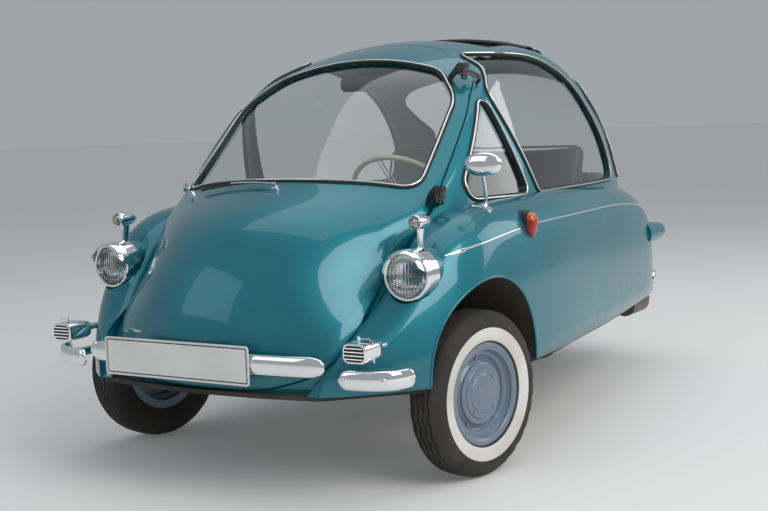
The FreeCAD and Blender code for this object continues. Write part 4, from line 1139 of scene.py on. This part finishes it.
# the pressed section: how far out in mm, and its height as a share of half the bar's
pressed = ((0, -1), (5.5, -0.97), (9.5, -0.8), (12, -0.5), (12.8, 0), (12, 0.5), (9.5, 0.8),
           (5.5, 0.97), (0, 1), (-2, 0.99), (3, 0.9), (7.2, 0.74), (9.6, 0.46), (10.4, 0), (9.6, -0.46),
           (7.2, -0.74), (3, -0.9), (-2, -0.99))
barDepth = 14.5  # the line is the bar's outermost edge
taperShare = 0.09
boltRadius = 8.5


def smoothLine(points, steps=10):
    points = [Vector(p) for p in points]
    ends = [points[0] * 2 - points[1]] + points + [points[-1] * 2 - points[-2]]
    line = []
    for a, b, c, d in zip(ends, ends[1:], ends[2:], ends[3:]):
        for k in range(steps):
            t = k / steps
            line.append(0.5 * (2 * b + (c - a) * t + (2 * a - 5 * b + 4 * c - d) * t * t
                               + (3 * b - a - 3 * c + d) * t ** 3))
    return line + [points[-1]]


def bumperBar(bm, sizes, side):
    line = [Vector((side * p.x, p.y)) for p in smoothLine(sizes["line"])]
    last = len(line) - 1
    outward = []
    for i in range(last + 1):
        run = (line[min(i + 1, last)] - line[max(i - 1, 0)]).normalized()
        outward.append(Vector((run.y, -run.x)) * side)
    rings = []
    for i, (p, out) in enumerate(zip(line, outward)):
        near = min(i, last - i) / last
        squeeze = math.sqrt(max(0.0, 1 - (1 - min(near / taperShare, 1)) ** 2)) * 0.72 + 0.28
        ring = []
        for o, h in pressed:
            at = p + out * (o * (0.35 + 0.65 * squeeze) - barDepth + 0.7)
            ring.append(Vector((at.x, at.y, sizes["z"] + h * sizes["half"] * squeeze)) * mm)
        rings.append(ring)
    loft(rings, bm=bm)
    for share in sizes["bolts"]:
        out = outward[round(share * last)]
        spot = line[round(share * last)] + out * -2.4
        turn = Matrix.Rotation(math.atan2(out.y, out.x) + math.pi / 2, 3, "Z")
        head = bmesh.ops.create_uvsphere(bm, u_segments=16, v_segments=8, radius=boltRadius * mm)
        bmesh.ops.scale(bm, vec=(1, 0.42, 1), verts=head["verts"])
        bmesh.ops.rotate(bm, verts=head["verts"], cent=(0, 0, 0), matrix=turn)
        bmesh.ops.translate(bm, verts=head["verts"], vec=Vector((spot.x, spot.y, sizes["z"])) * mm)


def strap(bm, low, high):  # a flat stay with softened edges
    low, high = Vector(low) * mm, Vector(high) * mm
    made = bmesh.ops.create_cube(bm, size=1)
    bmesh.ops.scale(bm, vec=high - low, verts=made["verts"])
    bmesh.ops.translate(bm, vec=(low + high) / 2, verts=made["verts"])
    edges = list({e for v in made["verts"] for e in v.link_edges})
    bmesh.ops.bevel(bm, geom=edges, offset=0.003, offset_type="OFFSET", segments=2, profile=0.5,
                    affect="EDGES", material=-1)


def makeBumpers():
    for name, sizes in bumpers.items():
        bm = bmesh.new()
        for side in sizes["sides"]:
            bumperBar(bm, sizes, side)
        x, half, (y0, y1), (z0, z1) = sizes["stay"]
        for side in (1, -1):
            strap(bm, (side * x - half, y0, z0), (side * x + half, y1, z1))
        finishPiece(name, bm, sizes["body"], "chromeTrim", [sizes["node"]], sharp=50)


makeBumpers()
print("bumpers")


# Horns, plates, trim strips and lips

horn = {
    "place": (522, -1246, 428), "half": (37, 26.5), "corner": 17,
    # how far back, and the outline's scale across and up
    "sections": ((0, 0.92, 0.92), (2, 0.98, 0.98), (8, 1, 1), (66, 1, 1), (82, 0.96, 0.95), (92, 0.86, 0.82),
                 (96, 0.66, 0.6)),
    "mouth": (0.82, 0.8, 14),
    "bars": 4, "barGap": 9.4, "barRadius": 1.7, "barHalf": (0.84, 0.72),
    "post": (-6, 34, 22), "postHeight": 20, "postRadius": 3.5,
    "stay": ((0, 0, 12), (30, 4, 13), (40, 6, 4), (41, 8, -50)), "stayRadius": 2.4,
    "tailFrom": 90, "tailLength": 60, "tailRadius": 10,
}


def roundedRect(u, v, radius, steps=6):
    return roundedOutline(((-u, -v, radius), (u, -v, radius), (u, v, radius), (-u, v, radius)), steps)


def addHorn(bm, side):
    x, y, z = side * horn["place"][0], horn["place"][1], horn["place"][2]
    halfX, halfZ = horn["half"]
    rings = []
    for along, a, b in horn["sections"]:
        outline = roundedRect(halfX * a, halfZ * b, horn["corner"] * min(a, b))
        rings.append([Vector((x + u, y + along, z + v)) * mm for u, v in outline])
    loft(rings, bm=bm)
    # a flat black sheet across the mouth, just ahead of the front face and behind the bars: painted shade in
    # place of the horn's hollow inside
    shareX, shareZ, corner = horn["mouth"]
    outline = roundedRect(halfX * shareX, halfZ * shareZ, corner)
    edges = addRing(bm, [Vector((x + u, y - 0.4, z + v)) * mm for u, v in outline])
    for face in bmesh.ops.contextual_create(bm, geom=edges)["faces"]:
        face.material_index = 1
    for k in range(horn["bars"]):
        away = k - (horn["bars"] - 1) / 2
        wide = halfX * horn["barHalf"][0 if abs(away) < 1 else 1]
        ends = [Vector((x + end, y - 1.2, z + away * horn["barGap"])) * mm for end in (-wide, wide)]
        addTube(bm, ends, horn["barRadius"] * mm, around=8)
    u, along, v = horn["post"]
    post = Vector((x + u, y + along, z + v)) * mm
    addTube(bm, [post, post + Vector((0, 0, horn["postHeight"])) * mm], horn["postRadius"] * mm, around=12)
    stay = [post + Vector((side * a, b, c)) * mm for a, b, c in horn["stay"]]
    addTube(bm, stay, horn["stayRadius"] * mm, around=8)
    back = Vector((x, y + horn["tailFrom"], z)) * mm
    addTube(bm, [back, back + Vector((0, horn["tailLength"], 0)) * mm], horn["tailRadius"] * mm, around=16)


def horns():
    bm = bmesh.new()
    for side in (1, -1):
        addHorn(bm, side)
    finishPiece("hornBodies", bm, "body", ["chromeTrim", "blackEnamel"], ["horns"])


plates = {
    # middle, half sizes, which way it faces, body, node
    "frontPlate": ((-59, -1272, 378), (260, 55), 1, "door", "front_plate"),
    "rearPlate": ((0, 1263, 480), (150, 70), -1, "body", "rear_plate"),
}
# steps inwards over a plate's face: width, rise, material; the last is a thin black line
plateSteps = ((0.8, 0.2, 0), (2, 0, 0), (0.8, -0.8, 0), (2.4, 0, 0), (3.4, 0, 1))
plateThick, plateScrews = 2.8, (-0.62, 0.62)


def plate(name, centre, half, way, bodyName, node):
    bm = bmesh.new()
    x, y, z = centre
    ring = addRing(bm, [Vector((x + u, y, z + v)) * mm for u, v in roundedRect(*half, 10)])
    back = bmesh.ops.contextual_create(bm, geom=ring)["faces"]
    front = bmesh.ops.extrude_face_region(bm, geom=back, use_keep_orig=True)["geom"]
    verts = [v for v in front if isinstance(v, bmesh.types.BMVert)]
    bmesh.ops.translate(bm, verts=verts, vec=(0, -way * plateThick * mm, 0))
    bmesh.ops.recalc_face_normals(bm, faces=bm.faces)
    face = [f for f in front if isinstance(f, bmesh.types.BMFace)]
    for wide, deep, index in plateSteps:
        rim = bmesh.ops.inset_region(bm, faces=face, thickness=wide * mm, depth=deep * mm,
                                     use_even_offset=True)
        for piece in rim["faces"]:
            piece.material_index = index
    for share in plateScrews:
        head = bmesh.ops.create_uvsphere(bm, u_segments=10, v_segments=6, radius=0.004)
        bmesh.ops.scale(bm, vec=(1, 0.2, 1), verts=head["verts"])
        spot = Vector((x + share * half[0], y - way * 2.3, z)) * mm
        bmesh.ops.translate(bm, verts=head["verts"], vec=spot)
    finishPiece(name, bm, bodyName, ["plateWhite", "blackEnamel"], [node], recalc=False)


horns()
for plateName, plateRow in plates.items():
    plate(plateName, *plateRow)

trim = {
    "spear": ((-890, 648), (-860, 655), (-787, 668), (-640, 686), (-464, 700), (-307, 704), (63, 702),
              (485, 694), (859, 670), (1040, 640)),
    "gap": 14, "half": 3, "rise": 2.2,
    "headSteps": 5, "headHalf": 4.8,  # the front end swells like a spear's head
    "lipRadius": 4.2, "lipSunk": 1,
}


def outerHit(y, z, side):  # whichever skin stands further out
    found = []
    for skin in (fenderSkins[side], cabinSkin):
        hit = skin.tree.ray_cast(Vector((side * 2, y * mm, z * mm)), Vector((-side, 0, 0)))[0]
        if hit is not None:
            found.append((abs(hit.x), hit, skin.normal(hit)))
    return max(found, key=lambda f: f[0])[1:]


def spears():
    for side, word in ((1, "Left"), (-1, "Right")):
        line = spread(smoothLine(trim["spear"]), trim["gap"], closed=False)
        hits = [outerHit(p.x, p.y, side) for p in line]
        rings = []
        count = len(hits)
        for i, (p, n) in enumerate(hits):
            way = (hits[min(i + 1, count - 1)][0] - hits[max(i - 1, 0)][0]).normalized()
            up = n.cross(way).normalized()
            wide = trim["half"] * mm * min(1, (count - i) / 5)
            if i < trim["headSteps"]:
                wide = 0.0009 + trim["headHalf"] * mm * math.sin(math.pi * (i + 0.3) / 7)
            rings.append([p + up * wide * math.cos(a) + n * trim["rise"] * mm * math.sin(a)
                          for a in (math.tau * k / 10 for k in range(10))])
        finishPiece("spear" + word, loft(rings), "body", "chromeTrim", sharp=60)


def archLips():
    radius = body["archRadius"] + 1
    for side, word in ((1, "Left"), (-1, "Right")):
        outline = [(body["archPlace"] + radius * math.cos(a), body["archHeight"] + radius * math.sin(a))
                   for a in (math.pi * k / 48 for k in range(49))]
        foot = body["sill"] + 6
        outline = [(outline[0][0], foot)] + outline + [(outline[-1][0], foot)]
        hits = [fenderSkins[side].fromSide(y, z, side) for y, z in outline]
        tube("archLip" + word, [p - n * trim["lipSunk"] * mm for p, n in hits], trim["lipRadius"] * mm,
             "body", "tealPaint", normals=[n for _, n in hits])


spears()
archLips()
print("trim")


# Wiper, handle, mirrors and hinges

wiperSizes = {
    # places are (across, up the windscreen's slope, lift over the glass)
    "pivot": (30, -246), "base": (-4, 6, 12), "spindle": (0, 20, 6),  # from, to, radius
    "arm": ((30, -246, 17), (-20, -241, 17), (-90, -231, 16), (-150, -223, 15)), "armRadius": 4.2,
    "bladeFrom": -285, "bladeTo": -9, "bladeLift": 13, "bladeRadius": 3.6,
}


def screenPoint(x, along, lift):
    start = Vector((x * mm, 0, 0)) + upScreen * along * mm + outScreen * 3
    point, normal = cabinSkin.hit(start, -outScreen)
    return point + normal * lift * mm


def addPost(bm, foot, normal, sizes, around):  # a round post along a normal: from, to, radius
    start, end, radius = sizes
    addTube(bm, [foot + normal * start * mm, foot + normal * end * mm], radius * mm, around=around)


def wiper():
    bm = bmesh.new()
    pivot = screenPoint(*wiperSizes["pivot"], 0)
    _, normal = cabinSkin.hit(pivot + outScreen, -outScreen)
    addPost(bm, pivot, normal, wiperSizes["base"], 20)
    addPost(bm, pivot, normal, wiperSizes["spindle"], 16)
    arm = [screenPoint(*place) for place in wiperSizes["arm"]]
    addTube(bm, smoothLine(arm, 4), wiperSizes["armRadius"] * mm, flat=0.5)
    finishPiece("wiperArm", bm, "door", "chromeTrim", ["wiper"], sharp=50)
    blade = [screenPoint(x, -228 + 0.00016 * (x + 10) ** 2, wiperSizes["bladeLift"])
             for x in range(wiperSizes["bladeFrom"], wiperSizes["bladeTo"], 25)]
    tube("wiperBlade", blade, wiperSizes["bladeRadius"] * mm, "door", "sealRubber", around=8)


handleSizes = {
    "outward": (-0.5, -0.8, 0.6), "foot": (-4, 16, 13),
    "grip": ((-30, 22), (-18, 25), (0, 26), (20, 25), (34, 21)), "gripRadius": 7.5,  # along, out
}


def handle():
    low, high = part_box("door_handle")
    outward = Vector(handleSizes["outward"]).normalized()
    point, normal = cabinSkin.hit((low + high) / 2 + outward, -outward)
    bm = bmesh.new()
    across = (Vector((high.x - low.x, 0, low.z - high.z))).normalized()
    across = (across - normal * across.dot(normal)).normalized()
    addPost(bm, point, normal, handleSizes["foot"], 24)
    grip = [point + across * a * mm + normal * o * mm for a, o in handleSizes["grip"]]
    addTube(bm, smoothLine(grip, 4), handleSizes["gripRadius"] * mm, flat=0.7, around=14)
    finishPiece("doorHandle", bm, "door", "chromeTrim", ["door_handle"], sharp=50)


mirror = {
    "head": (640, -728, 893), "half": (58, 34), "squareness": 0.86,
    # how far back, and the outline's scale there
    "sections": ((-10, 0.22), (-9.2, 0.45), (-7, 0.68), (-3.5, 0.86), (1, 0.96), (6, 1), (9, 1), (9.6, 0.97),
                 (9.6, 0.92), (8, 0.9)),
    "stalk": ((550, -628, 762), (600, -632, 770), (640, -722, 862), (640, -726, 875)), "stalkRadius": 5.2,
    "foot": (-628, 758), "socketRadius": 9.5, "base": (-4, 6, 17),
}


def squared(value):  # a cosine or sine bent so that its circle comes nearer to a rectangle
    return math.copysign(abs(value) ** mirror["squareness"], value)


def outsideMirror():
    bm = bmesh.new()
    x, y, z = mirror["head"]
    halfX, halfZ = mirror["half"]
    rim = [(halfX * squared(math.cos(a)), halfZ * squared(math.sin(a)))
           for a in (math.tau * k / 48 for k in range(48))]
    loft([[Vector((x + s * u, y + along, z + s * v)) * mm for u, v in rim]
          for along, s in mirror["sections"]], bm=bm)
    stalk = smoothLine([Vector(p) * mm for p in mirror["stalk"]], 8)
    addTube(bm, stalk, mirror["stalkRadius"] * mm, around=14)
    foot, normal = outerHit(*mirror["foot"], 1)
    socket = [foot - normal * 0.006, stalk[0] + Vector((0.004, 0, 0))]
    addTube(bm, socket, mirror["socketRadius"] * mm, around=18)
    addPost(bm, foot, normal, mirror["base"], 24)
    finishPiece("outsideMirror", bm, "body", "chromeTrim", ["outside_mirror"], sharp=45)


hinge = {
    "places": (((512, -735, 806), 0), ((410, -378, 1173), 45)),  # middle, and the foot's reach to the body
    "out": (0.75, -0.45, 0.45),
    "radius": 10.4, "soft": 1.2,
    "foot": (-13.6, 27.2), "arms": ((-29.6, 15.2), (14.4, 15.2)),  # knuckles: from, length
    "footHalf": 11.5, "armHalf": 28, "thick": 4.2,
    "armPath": ((-3, 0), (-14, 1), (-24, -4), (-25.5, -22), (-25.5, -66)),  # inwards, outwards
    "cap": ((0, 0), (0, 5), (0.4, 4.4), (0.4, 0)), "capAt": 29.6,
}


def addKnuckle(bm, middle, way, start, length):
    radius, soft = hinge["radius"], hinge["soft"]
    profile = ((0, 0), (0, radius - soft), (soft, radius), (length - soft, radius), (length, radius - soft),
               (length, 0))
    turnRound(bm, scaled(profile), 32, faceForward(middle + way * start, way))


def hinges():
    low, high = (Vector(place) for place, _ in hinge["places"])
    way = (high - low).normalized()
    out = Vector(hinge["out"])
    out = (out - way * out.dot(way)).normalized()
    inward = way.cross(out)
    feet, arms = bmesh.new(), bmesh.new()

    def bentStrap(bm, middle, path, half):  # a flat strap bent in the plane across the hinge
        points = smoothLine([(middle + inward * b + out * o) * mm for b, o in path], 5)
        runs = [(b - a).normalized() for a, b in zip(points, points[1:])]
        runs.append(runs[-1])
        addTube(bm, points, half * mm, flat=hinge["thick"] / half, normals=[way.cross(run) for run in runs],
                around=20)

    for place, reach in hinge["places"]:
        middle = Vector(place)
        addKnuckle(feet, middle, way, *hinge["foot"])
        footPath = ((2, 2), (reach * 0.5 + 4, 4), (reach + 9, 0), (reach + 9, -20), (reach + 9, -66))
        bentStrap(feet, middle, footPath, hinge["footHalf"])
        for start, length in hinge["arms"]:
            addKnuckle(arms, middle, way, start, length)
        for side in (-1, 1):
            bentStrap(arms, middle, hinge["armPath"], hinge["armHalf"])
            cap = faceForward(middle + way * hinge["capAt"] * side, way * side)
            turnRound(arms, scaled(hinge["cap"]), 20, cap, 1)
    finishPiece("hingeFeet", feet, "body", "blackEnamel", ["hinge_brackets"], sharp=40)
    finishPiece("hingeArms", arms, "door", ["blackEnamel", "chromeTrim"], ["hinge_arms"],
                sharp=40)


insideGlass = {
    "place": (0, -344, 1128), "tilt": -8, "half": (85, 26), "corner": 21,
    "sections": ((0, 0.86), (1.6, 0.95), (4, 1), (12.4, 1), (13.6, 0.97), (13.6, 0.93), (12.8, 0.92)),
    "post": ((0, -250, 1231), (0, -290, 1198), (0, -330, 1161)), "postRadius": 5.5,
}


def insideMirror():
    tilt = Matrix.Rotation(math.radians(insideGlass["tilt"]), 4, "X")
    matrix = Matrix.Translation(Vector(insideGlass["place"]) * mm) @ tilt
    halfX, halfZ = insideGlass["half"]
    rings = []
    for along, size in insideGlass["sections"]:
        outline = roundedRect(halfX * size, halfZ * size, insideGlass["corner"] * size)
        rings.append([matrix @ (Vector((u, along, halfZ + v)) * mm) for u, v in outline])
    bm = loft(rings)
    for face in bm.faces:  # the end that looks back is the glass
        if len(face.verts) > 8 and (matrix.inverted() @ face.calc_center_median()).y > 0.01:
            face.material_index = 1
    stem = [Vector(p) * mm for p in insideGlass["post"]]
    addTube(bm, smoothLine(stem, 5), insideGlass["postRadius"] * mm, around=14)
    finishPiece("insideMirror", bm, "door", ["blackEnamel", "chromeTrim"], ["inside_mirror"],
                sharp=40)


wiper()
handle()
outsideMirror()
hinges()
insideMirror()
print("fittings")


# Steering wheel

helm = {
    "centre": (200, -400, 765), "tilt": 40, "radius": 190, "grip": 9,
    "hub": ((-92, 0), (-92, 10.5), (-46, 10.5), (-40, 28), (-30, 31), (-12, 31), (-4, 27), (2, 20), (3, 0)),
    "button": ((2.5, 0), (2.5, 17), (6, 16), (8.4, 10), (9, 0)),
    "spokes": (30, 150, 270), "wires": (-7, 7), "wireRadius": 2.8, "wireFrom": 24, "wireTo": 188,
    "wireDrop": (-12, 11),
}


def steeringWheel():
    bm = bmesh.new()
    tilt = math.radians(helm["tilt"])
    matrix = faceForward(helm["centre"], (0, math.cos(tilt), math.sin(tilt)))
    grip = [(helm["grip"] * math.cos(a), helm["radius"] + helm["grip"] * 0.94 * math.sin(a))
            for a in (math.tau * k / 14 for k in range(14))]
    turnRound(bm, scaled(grip), 96, matrix, closed=True)
    turnRound(bm, scaled(helm["hub"]), 48, matrix)
    turnRound(bm, scaled(helm["button"]), 36, matrix, 1)
    drop, rise = helm["wireDrop"]
    for angle in helm["spokes"]:
        a = math.radians(angle)
        for offset in helm["wires"]:
            points = []
            for t in (k / 6 for k in range(7)):
                r = helm["wireFrom"] + (helm["wireTo"] - helm["wireFrom"]) * t
                points.append(matrix @ (Vector((drop + rise * t, -math.sin(a) * r + math.cos(a) * offset,
                                                math.cos(a) * r + math.sin(a) * offset)) * mm))
            addTube(bm, points, helm["wireRadius"] * mm, around=8, index=1)
    finishPiece("steeringWheel", bm, "steering_wheel", ["ivoryGrip", "chromeTrim"],
                ["steering_wheel"], sharp=40)


steeringWheel()
print("steering wheel")


# Seat cushions: a block blown up by cloth pressure, then piped along its seam. Sizes are metres.

seat = {
    "inset": 0.013, "grid": 0.028, "frames": 14, "pressure": 4.0,
    "channels": (-0.33, -0.2, -0.07, 0.07, 0.2, 0.33), "channelHalf": 0.012, "channelDeep": 0.007,
    "crown": 0.006, "waistAcross": 0.006, "waistAlong": 0.005,
    "pipe": 0.0042, "pipeIn": 0.004, "pipeCorner": 34, "pipeLevel": 0.3, "backThick": 0.09,
}


def swell(obj, most):
    start = [v.co.copy() for v in obj.data.vertices]
    cloth = obj.modifiers.new("cloth", "CLOTH")
    cloth.settings.use_pressure = True
    cloth.settings.uniform_pressure_force = seat["pressure"]
    cloth.settings.effector_weights.gravity = 0
    cloth.settings.quality = 6
    cloth.point_cache.frame_start = 1
    cloth.point_cache.frame_end = seat["frames"]
    scene = bpy.context.scene
    for frameNumber in range(1, seat["frames"] + 1):
        scene.frame_set(frameNumber)
    mesh = bpy.data.meshes.new_from_object(obj.evaluated_get(bpy.context.evaluated_depsgraph_get()))
    obj.modifiers.clear()
    for vertex, old in zip(mesh.vertices, start):
        move = vertex.co - old
        if move.length > most:
            vertex.co = old + move.normalized() * most
    obj.data = mesh
    scene.frame_set(1)


def cushionBlock(name, size):  # a soft-edged block cut into a grid, swollen
    bm = bmesh.new()
    bmesh.ops.create_cube(bm, size=1)
    bmesh.ops.scale(bm, vec=size, verts=bm.verts)
    bmesh.ops.bevel(bm, geom=bm.edges[:], offset=min(size) * 0.3, offset_type="OFFSET", segments=2,
                    profile=0.5, affect="EDGES", material=-1)
    for axis in range(3):
        count = max(3, round(size[axis] / seat["grid"]))
        for k in range(1, count):
            at, way = Vector(), Vector()
            at[axis] = (k / count - 0.5) * size[axis]
            way[axis] = 1
            bmesh.ops.bisect_plane(bm, geom=bm.verts[:] + bm.edges[:] + bm.faces[:], dist=0.0001,
                                   plane_co=at, plane_no=way)
    mesh = bpy.data.meshes.new(name)
    bm.to_mesh(mesh)
    bm.free()
    obj = bpy.data.objects.new(name, mesh)
    bpy.context.scene.collection.objects.link(obj)
    swell(obj, seat["inset"] * 0.95)
    bm = bmesh.new()
    bm.from_mesh(obj.data)
    bpy.data.objects.remove(obj)
    return bm


def cushion(name, node, lean, flat, face):  # flat is the thin axis, face the way its sewn side looks
    low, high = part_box(node)
    size, middle = high - low, (high + low) / 2
    if lean:
        thick = seat["backThick"]
        size = Vector((high.x - low.x, thick, (high.z - low.z - thick * math.sin(lean)) / math.cos(lean)))
    size = size - Vector((seat["inset"],) * 3) * 2
    bm = cushionBlock(name, size)
    for vertex in bm.verts:  # crowned top, sewn channels, waists pulled in between the corners
        co = vertex.co
        u, v = co.x / (size.x / 2), co[3 - flat] / (size[3 - flat] / 2)
        top = max(0.0, co[flat] * face / (size[flat] / 2))
        crown = (1 - min(1, abs(u)) ** 4) * (1 - min(1, abs(v)) ** 4)
        groove = min(abs((co.x - c) / seat["channelHalf"]) for c in seat["channels"])
        dip = seat["channelDeep"] * math.exp(-groove ** 2) * (1 - min(1, abs(v)) ** 8)
        co[flat] += face * top * (seat["crown"] * crown - dip)
        waistU = seat["waistAcross"] * (1 - min(1, abs(v)) ** 2) * min(1, abs(u)) ** 6
        waistV = seat["waistAlong"] * (1 - min(1, abs(u)) ** 2) * min(1, abs(v)) ** 6
        co.x -= math.copysign(waistU, co.x)
        co[3 - flat] -= math.copysign(waistV, v)
    bmesh.ops.smooth_vert(bm, verts=bm.verts, factor=0.35, use_axis_x=True, use_axis_y=True, use_axis_z=True)
    matrix = Matrix.Translation(middle) @ Matrix.Rotation(-lean, 4, "X")
    bmesh.ops.transform(bm, matrix=matrix, verts=bm.verts)
    piece = finishPiece(name, bm, "body", "seatVinyl", [node], sharp=0)
    soft = piece.modifiers.new("soft", "SUBSURF")
    soft.levels = 1
    soft.render_levels = 1
    halfU, halfV = size.x / 2 - seat["pipeIn"], size[3 - flat] / 2 - seat["pipeIn"]
    seam = []
    for u, v in roundedRect(halfU / mm, halfV / mm, seat["pipeCorner"], 8):
        u, v = u * mm, v * mm
        waist = seat["waistAcross"] * (1 - min(1, abs(v) / halfV) ** 2) if abs(u) > halfU * 0.9 else 0
        point = Vector((u - math.copysign(waist, u), 0, 0))
        point[3 - flat] = v
        point[flat] = face * size[flat] * seat["pipeLevel"]
        seam.append(matrix @ point)
    tube(name + "Piping", spread(seam, 0.02), seat["pipe"], "body", "seatVinyl", closed=True)


cushion("seatCushion", "seat_cushion", 0.0, 2, 1)
cushion("seatBack", "seat_back", math.radians(14), 1, -1)
print("seat")


# Folded roof: pleats of cloth across the back edge of the roof opening, over their bow

folded = {
    "from": 246, "to": 548, "half": 322, "pleats": 4, "rise": 16, "lap": 17, "thick": 2.2,
    "bow": (318, 236, 2, 7.5),  # half width, place along the car, lift, radius
}


def pleatLine(t):  # place along the car and rise over the skin, at a share of the bundle
    phase = t * folded["pleats"] * math.tau
    y = folded["from"] + (folded["to"] - folded["from"]) * t - folded["lap"] * math.sin(phase)
    rise = folded["rise"] * (0.5 - 0.5 * math.cos(phase))
    return y, rise - 6 * (1 - min(1, t * 8)) - 5 * max(0, t * 8 - 7)


def foldedRoof():
    count, across = folded["pleats"] * 16, 24
    rows = []
    for k in range(count + 1):
        y, rise = pleatLine(k / count)
        row = []
        for i in range(across + 1):
            x = folded["half"] * (i / across * 2 - 1)
            skin, normal = cabinSkin.fromAbove(x, y)
            wave = 1.2 * math.sin(x * 0.031 + y * 0.05) + 0.8 * math.sin(x * 0.083 - y * 0.02)
            row.append(skin + normal * (rise + wave - 1) * mm)
        rows.append(row)
    bm = bmesh.new()
    edges = []
    for row in rows:
        verts = [bm.verts.new(p) for p in row]
        edges.append([bm.edges.new(pair) for pair in zip(verts, verts[1:])])
    for first, second in zip(edges, edges[1:]):
        bmesh.ops.bridge_loops(bm, edges=first + second)
    piece = finishPiece("foldedRoof", bm, "body", "roofCloth", ["folded_roof"], sharp=0)
    cloth = piece.modifiers.new("cloth", "SOLIDIFY")
    cloth.thickness = folded["thick"] * mm
    cloth.offset = -1
    length = sum((rows[i + 1][across // 2] - rows[i][across // 2]).length for i in range(count))
    width = sum((rows[0][i + 1] - rows[0][i]).length for i in range(across))
    print("folded cloth", round(width, 3), round(length, 3))
    half, y, lift, radius = folded["bow"]
    bow = []
    for i in range(25):
        skin, normal = cabinSkin.fromAbove(half * (i / 12 - 1), y)
        bow.append(skin + normal * lift * mm)
    tube("roofBow", bow, radius * mm, "body", "blackEnamel", around=12)


foldedRoof()
print("roof")


# What the solids carry themselves

carried = {
    "floor_pan": "underPaint", "rear_swing_arm": "underPaint", "front_axle": "underPaint",
    "bulkhead": "trimBoard", "parcel_shelf": "trimBoard", "seat_base": "cabinTrim",
    "steering_column": "blackEnamel", "pedals": "bareSteel", "hand_levers": "bareSteel",
    "exhaust": "bareSteel", "engine_block": "castMetal", "knuckle_left": "castMetal",
    "knuckle_right": "castMetal",
}
for nodeName, finishName in carried.items():
    nodes[nodeName].data.materials.clear()
    nodes[nodeName].data.materials.append(finishes[finishName])
print("solids", len(carried))


# Camera, light and floor

shot = {
    # metres, degrees and pixels, as fitted to the photograph
    "place": (2.321, -3.996, 1.010), "turn": 31.68, "tilt": 5.72, "roll": -1.98, "focal": 1291, "width": 768,
}


def setCamera():
    a, e, r = (math.radians(shot[key]) for key in ("turn", "tilt", "roll"))
    back = Vector((math.sin(a) * math.cos(e), -math.cos(a) * math.cos(e), math.sin(e)))
    level = Vector((math.cos(a), math.sin(a), 0))
    rise = back.cross(level)
    right = level * math.cos(r) + rise * math.sin(r)
    up = rise * math.cos(r) - level * math.sin(r)
    data = bpy.data.cameras.new("camera")
    data.sensor_width = 36
    data.lens = shot["focal"] / shot["width"] * data.sensor_width
    camera = bpy.data.objects.new("camera", data)
    camera.matrix_world = Matrix.Translation(shot["place"]) @ Matrix((right, up, back)).transposed().to_4x4()
    bpy.context.scene.collection.objects.link(camera)
    bpy.context.scene.camera = camera


lights = (
    # name, place, size, power, colour
    ("key", (5.6, -1.8, 4.6), 4.4, 250, (1.0, 0.98, 0.95)),
    ("front", (-3.2, -5.6, 3.6), 4.0, 45, (0.92, 0.96, 1.0)),
    ("over", (0.2, 0.6, 5.0), 4.6, 60, (1.0, 1.0, 1.0)),
    ("rim", (4.4, 4.6, 3.2), 3.4, 70, (1.0, 0.99, 0.97)),
)
studio = {
    "aim": (0, -0.1, 0.6),
    "sky": (0.88, 0.94, 1.0), "skyLight": 0.38, "skySeen": 0.4,  # what it gives, and what the camera sees
    "floor": (0.7, 0.7, 0.69), "floorGlow": 0.09, "floorRadius": 140,
}


def setLights():
    for name, place, size, power, colour in lights:
        data = bpy.data.lights.new(name, "AREA")
        data.shape = "SQUARE"
        data.size = size
        data.energy = power
        data.color = colour
        obj = bpy.data.objects.new(name, data)
        aim = Vector(studio["aim"]) - Vector(place)
        obj.matrix_world = Matrix.Translation(place) @ aim.to_track_quat("-Z", "Y").to_matrix().to_4x4()
        bpy.context.scene.collection.objects.link(obj)


def setSky():
    world = bpy.data.worlds.new("studio")
    world.use_nodes = True
    sky = world.node_tree.nodes["Background"]
    sky.inputs["Color"].default_value = (*studio["sky"], 1)
    path = world.node_tree.nodes.new("ShaderNodeLightPath")
    level = world.node_tree.nodes.new("ShaderNodeMapRange")
    level.inputs["To Min"].default_value = studio["skyLight"]
    level.inputs["To Max"].default_value = studio["skySeen"]
    world.node_tree.links.new(path.outputs["Is Camera Ray"], level.inputs["Value"])
    world.node_tree.links.new(level.outputs["Result"], sky.inputs["Strength"])
    bpy.context.scene.world = world


def setFloor():
    bm = bmesh.new()
    bmesh.ops.create_circle(bm, cap_ends=True, segments=64, radius=studio["floorRadius"])
    mesh = bpy.data.meshes.new("floor")
    bm.to_mesh(mesh)
    bm.free()
    floor = bpy.data.objects.new("floor", mesh)
    f = Finish("floorPaper", Roughness=0.9, Base_Color=studio["floor"], Emission_Color=(1.0, 1.0, 1.0),
               Emission_Strength=studio["floorGlow"])
    mesh.materials.append(f.material)
    bpy.context.scene.collection.objects.link(floor)


setCamera()
setLights()
setSky()
setFloor()
bpy.context.scene.view_settings.view_transform = "Standard"
print("finish")
